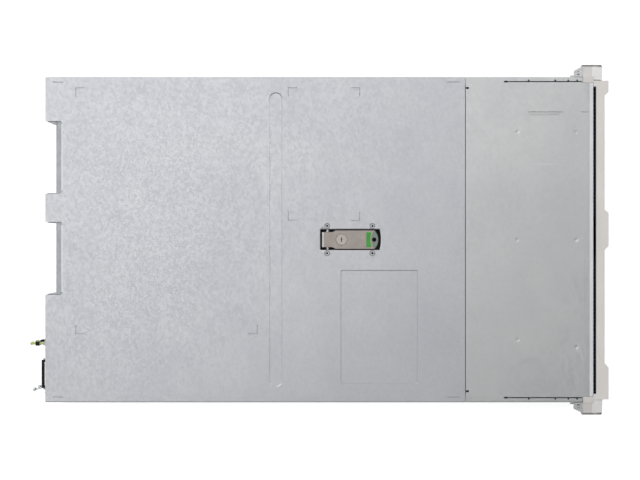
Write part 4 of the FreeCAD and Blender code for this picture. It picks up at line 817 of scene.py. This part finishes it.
head = [(1.35, -3.0), (1.35, -0.2), (1.6, 0.1), (2.5, 0.1), (2.8, -0.2), (2.8, -0.8)]
bore = [(0, 0.12), (1.5, 0.12), (1.6, 0.0)]
outline = [(3.6, -0.3), (3.6, 0.03), (3.95, 0.03), (3.95, -0.3)]
# The outlines are rings of painted shade round the rivet dimples, and the bores are flush discs of painted shade
# in the rivet holes.
for name, profile, steps, z, material, replaced in (("heads", head, 20, 86.6, "front_sheet", ["latch_rivets"]),
                                                    ("bores", bore, 16, 86.6, "dark_gap", []),
                                                    ("outlines", outline, 28, TOP, "seam", [])):
    repeated(lathe(profile, steps), [(x, y, z) for x, y in RIVETS], "latch_rivet_" + name, "cover",
             material, replaced)
# Painted shade: a ring in the gap round the lock, a dark block for the lock's slot and a dark dot in its centre.
shaped(lathe([(7.15, 0.0), (7.15, 0.08), (7.85, 0.08), (7.85, 0.0)], 40, at=(0, LOCK_Y, 86.5)),
       "latch_lock_seam", "cover_latch", "seam")
shaped(block(-3.3, 3.3, LOCK_Y - 0.45, LOCK_Y + 0.45, 85.0, 86.35), "latch_lock_slot", "latch_lock",
       "seam")
shaped(lathe([(0, 0.12), (1.1, 0.1), (1.2, 0.0)], 20, at=(0, LOCK_Y, 86.65)), "latch_lock_centre",
       "latch_lock", "seam")
# The pin's collars take the painted highlight of the bent edges.
collar = [(0, -1.0), (1.7, -1.0), (1.9, -0.8), (1.9, 0.8), (1.7, 1.0), (0, 1.0)]
repeated(lathe(collar, 20, (1, 0, 0)), [(s * 11.6, -11.2, 81.5) for s in (-1, 1)], "latch_pin_collars",
         "cover", "bent_edge")

BAY_COUNT, BAYS_FILLED, BAY_PITCH, BAYS_MIDDLE = 24, 4, 15.9, 13.6
bays = [BAYS_MIDDLE + (i + 0.5 - BAY_COUNT / 2) * BAY_PITCH for i in range(BAY_COUNT)]
grille = stand_up(pressed_sheet([(-5.4, 9.0), (5.4, 9.0), (5.4, 72.4), (-5.4, 72.4)],
                                hex_field(-5.2, 5.2, 10.0, 71.4, 1.45, 3.6), [], 388.9), -1)
empty = [(x, 0, 0) for x in bays[BAYS_FILLED:]]
repeated(grille, empty, "blank_grilles", "chassis", "blank_plastic")
repeated(block(-5.2, 5.2, -388.6, -388.45, 9.2, 72.2), empty, "blank_grille_shadows", "chassis",
         "dark_gap")
for i, x in enumerate(bays[:BAYS_FILLED]):
    body = "carrier_%d" % (i + 1)
    for x0, lamp, light in ((x - 5.2, "_activity_lamp", "lamp_green"), (x + 3.2, "_status_lamp", "lamp_blue")):
        shaped(block(x0, x0 + 2.0, -391.3, -390.3, 72.4, 74.0), body + lamp, body, light, 0.2)
    shaped(block(x - 3.4, x + 3.4, -391.2, -390.4, 62.5, 69.0), body + "_lever_button", body + "_lever",
           "release_plastic", 0.3)

ring = [(5.0, 0.0), (6.2, 0.0), (6.2, 0.35), (5.0, 0.35), (5.0, 0.0)]
shaped(lathe(ring, 32, (0, -1, 0), (-199.0, -398.75, 62.0)), "power_lamp_ring", "power_button",
       "lamp_green")
shaped(lathe([(0, 0), (1.2, 0), (1.2, 0.3), (0, 0.35)], 20, (0, -1, 0), (-199.0, -398.8, 41.0)),
       "identification_lamp", "id_button", "lamp_blue")
shaped(block(-203.5, -194.5, -397.0, -386.0, 22.6, 24.4), "front_usb_tongue", "chassis",
       "black_port", 0.2)

# ---------------------------------------------------------------- rear details

WALL_Y = 375.7
LOW_Y = WALL_Y - REAR_STEP
WALL_X0, WALL_X1, WALL_TOP, WALL_STEP_Z = -135.9, 221.3, 85.8, 27.0


def wall_plate(x0, x1, z0, z1, y=WALL_Y):
    return block(x0, x1, y - SHEET, y, z0, z1)


plates = [wall_plate(-WALL_X1, WALL_X0, 82.8, WALL_TOP), wall_plate(WALL_X0, -134.0, 1.2, 24.5, LOW_Y),
          wall_plate(201.0, WALL_X1, 1.2, 24.5, LOW_Y), wall_plate(WALL_X0, WALL_X1, 24.5, WALL_STEP_Z, LOW_Y)]
(high0, high1), (low0, low1) = RISERS
for x0, x1 in ((WALL_X0, low0), (low1, high0), (high1, WALL_X1)):
    plates += [wall_plate(x0, x1, WALL_STEP_Z, WALL_TOP),
               block(x0, x1, LOW_Y - SHEET, WALL_Y, WALL_STEP_Z - SHEET, WALL_STEP_Z)]
shaped(merged([chamfered(plate, 0.2) for plate in plates]), "rear_wall_plates", "chassis",
       "pan_steel", replaces=["rear_wall"])


def carved(piece, cutters):
    """Cuts boxes out of a finished piece."""
    tool = linked("cutter", mesh_of(cutters, "cutter"))
    cut = piece.modifiers.new("cut", "BOOLEAN")
    cut.object = tool
    cut.solver = "EXACT"
    baked(piece)
    bpy.data.objects.remove(tool)
    return even_shading(piece)


carved(finished["riser_cages"], merged([block(x0 + 1.4, x1 - 1.4, LOW_Y, 380.0, 20.0, 30.0)
                                        for x0, x1 in RISERS]))

# Middle, width, height and kind of each port.
PORTS = [(-118.0, 31.0, 12.5, "screw"), (-92.0, 14.5, 15.5, "usb"), (-66.0, 17.0, 14.0, "net"),
         (-46.0, 17.0, 14.0, "net"), (-26.0, 17.0, 14.0, "net"), (-6.0, 17.0, 14.0, "net"),
         (44.0, 16.0, 11.0, "net"), (104.0, 31.0, 12.5, "screw"), (190.0, 16.0, 8.0, "usb")]
PORT_Z, SOCKET_Y = 7.6, 366.9 - REAR_STEP


def port_insert(x, width, inset, depth, z0, z1):
    """Moulded block inside a port, inset mm from its sides."""
    return block(x - width / 2 + inset, x + width / 2 - inset, SOCKET_Y, SOCKET_Y + depth, z0, z1)


inserts, net_pins, net_lamps, screw_pins, nuts = [], [], [], [], []
for x, w, h, kind in PORTS:
    top = PORT_Z + h
    if kind == "net":
        inserts.append(port_insert(x, w, 1.6, 0.4, PORT_Z + 1.6, top - 1.6))
        net_pins += [(x - 4.4 + 1.25 * k, -REAR_STEP, PORT_Z) for k in range(8)]
        net_lamps += [(x + s * (w / 2 - 2.6), -REAR_STEP, top) for s in (-1, 1)]
    elif kind == "usb":
        # A tall shell holds two sockets, a low one holds one.
        tongues = [h * 0.62, 3.6] if h > 10 else [h * 0.62]
        inserts += [port_insert(x, w, 2.6, 7.1, PORT_Z + z, PORT_Z + z + 1.8) for z in tongues]
    else:
        inserts.append(port_insert(x, w, 2.2, 7.5, PORT_Z + 2.6, top - 2.6))
        screw_pins += [(x + (k - 3.5) * 2.6, -REAR_STEP, PORT_Z + h / 2 + dz) for k in range(8)
                       for dz in (-1.4, 1.4)]
        nuts += [(x + s * (w / 2 + 2.6), LOW_Y, PORT_Z + h / 2) for s in (-1, 1)]
shaped(merged(inserts), "port_inserts", "chassis", "black_port", 0.2)
blade = chamfered(block(-0.25, 0.25, 367.2, 372.5, 2.4, 3.2), 0.08)
window = chamfered(block(-1.1, 1.1, 375.9, 376.5, -1.3, -0.3), 0.1)
socket_pin = lathe([(0, 374.3), (0.5, 374.3), (0.5, 374.7), (0, 374.75)], 8, (0, 1, 0))
nut = lathe([(0, 0), (2.4, 0), (2.4, 1.6), (1.3, 1.6), (1.3, 0.4), (0, 0.4)], 6, (0, 1, 0))
for item, places, name, material in ((blade, net_pins, "network_contacts", "gold"),
                                     (window, net_lamps, "network_lamps", "lamp_green"),
                                     (socket_pin, screw_pins, "display_serial_contacts", "gold"),
                                     (nut, nuts, "port_jack_nuts", "bright_steel")):
    repeated(item, places, name, "chassis", material)

SCREW = [(0, 0.5), (1.1, 0.5), (1.2, 1.5), (1.9, 1.45), (2.7, 0.9), (3.0, 0.3), (3.0, 0.0), (0, 0.0)]
wall_screws = [(x, WALL_Y if z > WALL_STEP_Z else LOW_Y, z)
               for x, z in ((-105.5, 76.0), (-105.5, 40.0), (44.0, 76.0), (44.0, 40.0), (192.0, 76.0),
                            (192.0, 50.0), (210.0, 30.0), (147.0, 14.0), (76.0, 14.0))]
repeated(lathe(SCREW, 14, (0, 1, 0)), wall_screws, "rear_wall_screws", "chassis", "bright_steel")
VENT_PITCH, VENT_ROW = 4.0, 3.46
vents = []
for x0, x1, z0, z1 in ((-128.0, -84.0, 46.0, 70.0), (30.0, 58.0, 48.0, 70.0), (168.0, 184.0, 34.0, 74.0),
                       (200.0, 216.0, 34.0, 74.0)):
    vents += [(x0 + VENT_PITCH * i + (VENT_PITCH / 2 if j % 2 else 0), 0, z0 + VENT_ROW * j)
              for i in range(int((x1 - x0) / VENT_PITCH) + 1) for j in range(int((z1 - z0) / VENT_ROW) + 1)]
repeated(lathe([(0, 375.68), (1.45, 375.68), (1.45, 375.76), (0, 375.76)], 6, (0, 1, 0)), vents,
         "rear_wall_vents", "chassis", "dark_gap")

# Vents of the three slot covers in each riser.
vents = [hole for x0, x1 in RISERS for z in (34.0, 52.0, 70.0)
         for hole in hex_field(x0 + 14, x1 - 12, z + 1.2, z + 10.8, 1.5, 4.2)]
repeated(lathe([(0, 359.98), (1.5, 359.98), (1.5, 360.08), (0, 360.08)], 6, (0, 1, 0)),
         [(sum(p[0] for p in hole) / 6, 0, sum(p[1] for p in hole) / 6) for hole in vents], "slot_cover_vents",
         "chassis", "dark_gap")

for n, z0 in ((1, 2.2), (2, 43.0)):
    body, mid = "psu_%d" % n, z0 + 19.75
    plate = [(-165.0, -(z0 + 37.5)), (-151.0, -(z0 + 37.5)), (-151.0, -(z0 + 2.0)), (-165.0, -(z0 + 2.0))]
    mesh_holes = hex_field(-164.2, -151.8, -(z0 + 36.5), -(z0 + 3.0), 1.5, 3.7)
    thick_sheet(stand_up(pressed_sheet(plate, mesh_holes, [], 377.2), 1), body + "_fan_grille", body,
                "psu_steel", [], 0.4)
    shaped(block(-147.0, -141.0, 388.0, 393.4, z0 + 11.2, z0 + 28.2), body + "_release_collar",
           body + "_release", "handle_plastic", 0.4)
    shaped(block(-164.8, -151.2, 376.5, 376.6, z0 + 2.2, z0 + 37.3), body + "_grille_shadow", body,
           "dark_gap")
    inlet = pressed_sheet(rounded_rect(-201.6, -171.4, -(mid + 4.6), -(mid - 18.6), 2.0, 3),
                          [rounded_rect(-199.9, -173.1, -(mid + 2.8), -(mid - 16.8), 1.6, 3)], [], 377.4)
    thick_sheet(stand_up(inlet, 1), body + "_inlet_frame", body, "black_port", [], 0.9)
    shaped(lathe([(0, 0), (1.2, 0), (1.2, 0.5), (0, 0.7)], 14, (0, 1, 0), (-209.0, 376.5, z0 + 31.0)),
           body + "_status_lamp", body, "lamp_green")
    repeated(lathe(SCREW, 14, (0, 1, 0)), [(-216.0, 376.2, z0 + 4.5), (-216.0, 376.2, z0 + 35.0)],
             body + "_screws", body, "bright_steel")

# ---------------------------------------------------------------- side and inner details

SIDE_SCREWS = ((-345, 20), (-300, 20), (-150, 20), (0, 20), (150, 20), (300, 20), (-345, 60), (-220, 60))
for s, word in ((1, "right"), (-1, "left")):
    repeated(lathe(SCREW, 14, (s, 0, 0)), [(s * 222.5, y, z) for y, z in SIDE_SCREWS], word + "_side_screws",
             "chassis", "bright_steel")
sunk_screw = [(0, -0.6), (0.9, -0.6), (1.0, 0.0), (2.6, 0.1), (2.9, 0.0), (2.9, -0.1), (0, -0.1)]
underside = [(x, y, 0.0) for x in (-205, -70, 70, 205) for y in (-360, -270, -150, 30, 170, 365)]
repeated(lathe(sunk_screw, 14, (0, 0, -1)), underside, "underside_screws", "chassis", "bright_steel")

BOARD_Z = 7.6
BLOCKS = ((26, 62, 96, 132), (-134, -86, 106, 128), (116, 194, 88, 104), (-209, -146, 156, 180))
CPU_X, CPU_Y = 105, -35.0


def clear(x, y):
    """Whether small parts have room here beside the larger blocks on the board."""
    return not any(x0 - 3 < x < x1 + 3 and y0 - 3 < y < y1 + 3 for x0, x1, y0, y1 in BLOCKS)


def on_board(item, places, name, material, z=BOARD_Z):
    """The item at every place (x, y) of the main board."""
    repeated(item, [(x, y, z) for x, y in places], name, "chassis", material)


spots = [(x + 5 * math.sin(2.1 * x + y), y + 4 * math.cos(x - 1.7 * y))
         for x in range(-200, 205, 27) for y in range(50, 200, 24)]
spots = [(x, y) for x, y in spots if clear(x, y)]
on_board(chamfered(block(-4.0, 4.0, -4.0, 4.0, 0, 1.2), 0.2), spots[::2], "board_chips", "chip")
legs = [block(-4.6 + 1.3 * k, -4.2 + 1.3 * k, -2.7, 2.7, 0, 0.5) for k in range(8)]
on_board(merged([block(-5.0, 5.0, -1.9, 1.9, 0, 1.0)] + legs), spots[1::4], "board_driver_chips", "chip")
small = [(x + 9 * math.cos(i), y + 7 * math.sin(i)) for x, y in spots for i in range(5)]
on_board(block(-0.8, 0.8, -0.4, 0.4, 0, 0.6), [(x, y) for x, y in small if clear(x, y) and abs(x) < 210],
         "board_small_parts", "ejector_plastic")
can = [(0, 0), (3.1, 0), (3.1, 0.8), (2.9, 1.0), (3.1, 1.2), (3.1, 7.4), (2.8, 7.8), (0, 7.8)]
ROW_PITCH = 11.5
on_board(lathe(can, 16), [(s * (CPU_X + (k - 2.5) * ROW_PITCH), y) for s in (-1, 1) for k in range(6)
                          for y in (46.0, -128.0)], "board_capacitors", "bright_steel")
on_board(chamfered(block(-4.6, 4.6, -4.6, 4.6, 0, 6.5), 0.7),
         [(s * (CPU_X + (k - 2) * ROW_PITCH), -116.0) for s in (-1, 1) for k in range(5)], "board_coils",
         "screw_steel")

DIMM_PITCH = 7.2
inner = [14.3 + DIMM_PITCH * k for k in range(7)] + [152.5 + DIMM_PITCH * k for k in range(8)]
dimms = [s * x for s in (-1, 1) for x in inner]
for dy, y0, y1, name in ((73.2, -3.8, -1.0, "memory_rear_clips"), (-73.2, 1.0, 3.8, "memory_front_clips")):
    clip = merged([block(-2.4, 2.4, -2.2, 2.2, 0, 13.0), block(-2.4, 2.4, y0, y1, 13.0, 15.5)])
    on_board(chamfered(clip, 0.3), [(x, CPU_Y + dy) for x in dimms], name, "bezel_plastic")
on_board(block(-0.3, 0.3, -4.6, 4.6, 0, 9.0), [(x + s * 2.05, CPU_Y + (k - 4.5) * 12.4) for x in dimms
                                               for s in (-1, 1) for k in range(10)],
         "memory_chips", "chip", 22.0)
on_board(lathe(SCREW, 14), [(s * CPU_X + a * 33.0, CPU_Y + b * 50.0) for s in (-1, 1) for a in (-1, 1)
                            for b in (-1, 1)], "heatsink_screws", "bright_steel", 18.2)
on_board(chamfered(block(-0.5, 0.5, -13.0, 13.0, 0, 9.0), 0.1), [(32.0 + 2.6 * k, 114.0) for k in range(10)],
         "chipset_fins", "fin_aluminium", 15.6)


def cable(name, points, r):
    """Round cable of radius r through the given points."""
    curve = bpy.data.curves.new(name, "CURVE")
    curve.dimensions = "3D"
    curve.bevel_depth = r * MM
    curve.bevel_resolution = 3
    curve.resolution_u = 6
    line = curve.splines.new("BEZIER")
    line.bezier_points.add(len(points) - 1)
    for knot, at in zip(line.bezier_points, points):
        knot.co = Vector(at) * MM
        knot.handle_left_type = knot.handle_right_type = "AUTO"
    holder = linked(name, curve)
    bpy.context.view_layer.update()
    mesh = evaluated_mesh(holder)
    bpy.data.objects.remove(holder)
    return even_shading(new_piece(name, mesh, "chassis", "chip"))


for k in range(3):
    # From the backplane along the right wall, inside X 213.8, down to the board.
    cable("backplane_cable_%d" % (k + 1),
          [(188.0 - 96 * k, -259.0, 64.0), (196.0 - 60 * k, -238.0, 66.0 + 2 * k),
           (203.0 - 5 * k, -219.0, 61.0 - 6 * k), (210.0, -190.0, 57.0 - 7 * k), (210.5, -165.0, 51.0 - 7 * k),
           (210.0, -146.0, 44.0 - 7 * k), (209.0, -60.0, 34.0 - 2 * k), (207.5, 20.0, 24.0 + 2 * k),
           (204.0, 52.0, 20.0 + 4 * k), (190.0 - 18 * k, 84.0, 14.0), (180.0 - 18 * k, 92.0, 12.0)], 2.6)
for k in range(6):
    x = (k - 2.5) * 68.0
    cable("fan_cable_%d" % (k + 1), [(x + 24.0, -162.0, 16.0), (x + 25.0, -156.0, 15.0),
                                     (x + 24.0, -149.0, 12.0), (x + 22.0, -141.0, 9.0)], 1.5)

# ---------------------------------------------------------------- light, floor and camera

scene = bpy.context.scene
scene.view_settings.view_transform = "Standard"

world = bpy.data.worlds.new("plain_studio")
world.use_nodes = True
world.node_tree.nodes.clear()
tree = world.node_tree
path = add(tree, "ShaderNodeLightPath").outputs
seen = add(tree, "ShaderNodeMath", {0: path["Is Camera Ray"], 1: path["Is Transmission Ray"]},
           operation="MAXIMUM").outputs[0]
# The studio is brighter towards the picture's upper left.
coords = add(tree, "ShaderNodeTexCoord").outputs["Generated"]
toward = add(tree, "ShaderNodeVectorMath", {0: coords, 1: (0.62, 0.72, 0.30)}, operation="DOT_PRODUCT")
level = add(tree, "ShaderNodeMapRange", {"Value": toward.outputs["Value"], "From Min": 0.1, "From Max": 1.0,
                                         "To Min": 0.12, "To Max": 0.95}).outputs[0]
ambient = add(tree, "ShaderNodeBackground", {"Color": "#F7F7FA", "Strength": level})
white = add(tree, "ShaderNodeBackground", {"Color": "#FFFFFF", "Strength": 1.0})
both = add(tree, "ShaderNodeMixShader", {0: seen, 1: ambient.outputs[0], 2: white.outputs[0]})
add(tree, "ShaderNodeOutputWorld", {"Surface": both.outputs[0]})
scene.world = world


def soft_light(name, at, aim, size, power, turn=0.0):
    """Softbox at one place, aimed at another, turned round its own axis."""
    lamp = bpy.data.lights.new(name, "AREA")
    lamp.shape = "RECTANGLE"
    lamp.size, lamp.size_y = size
    lamp.energy = power
    aimed = (Vector(aim) - Vector(at)).to_track_quat("-Z", "Y").to_matrix().to_4x4()
    linked(name, lamp).matrix_world = (Matrix.Translation(at) @ aimed
                                       @ Matrix.Rotation(math.radians(turn), 4, "Z"))


soft_light("overhead_softbox", (0.44, 0.44, 2.6), (0.44, 0.44, 0.0), (1.7, 2.8), 18.5, 45)
soft_light("key_softbox", (1.5, 1.7, 1.6), (0.0, 0.0, 0.05), (2.2, 2.2), 17)
soft_light("front_softbox", (0.6, -2.0, 1.1), (0.0, -0.35, 0.05), (2.4, 1.5), 16)

FLOOR_HALF, FLOOR_Z = 6, -0.0002
floor_mesh = bpy.data.meshes.new("floor")
floor_corners = [(x * FLOOR_HALF, y * FLOOR_HALF, FLOOR_Z) for x, y in ((-1, -1), (1, -1), (1, 1), (-1, 1))]
floor_mesh.from_pydata(floor_corners, [], [(0, 1, 2, 3)])
floor = linked("floor", floor_mesh)
# White paper that stays white to the camera and in reflections.
mat, tree = blank_material("paper_floor")
path = add(tree, "ShaderNodeLightPath").outputs
seen = add(tree, "ShaderNodeMath", {0: path["Is Camera Ray"], 1: path["Is Glossy Ray"]},
           operation="MAXIMUM").outputs[0]
seen = add(tree, "ShaderNodeMath", {0: seen, 1: path["Is Transmission Ray"]}, operation="MAXIMUM").outputs[0]
lift = add(tree, "ShaderNodeEmission", {"Color": "#FFFFFF", "Strength": 0.75})
dark = add(tree, "ShaderNodeEmission", {"Color": "#000000", "Strength": 0.0})
shown = add(tree, "ShaderNodeMixShader", {0: seen, 1: dark.outputs[0], 2: lift.outputs[0]})
paper = add(tree, "ShaderNodeBsdfDiffuse", {"Color": "#EFEFEF"})
total = add(tree, "ShaderNodeAddShader", {0: paper.outputs[0], 1: shown.outputs[0]})
add(tree, "ShaderNodeOutputMaterial", {"Surface": total.outputs[0]})
floor_mesh.materials.append(mat)

# The photograph looks straight down; its right is the server's front and its top the server's right side.
camera = bpy.data.cameras.new("camera")
camera.sensor_width = 36
camera.lens = 93.65
holder = linked("camera", camera)
holder.matrix_world = Matrix(((0, 1, 0, -0.0005), (-1, 0, 0, -0.0008), (0, 0, 1, 2.377), (0, 0, 0, 1)))
scene.camera = holder
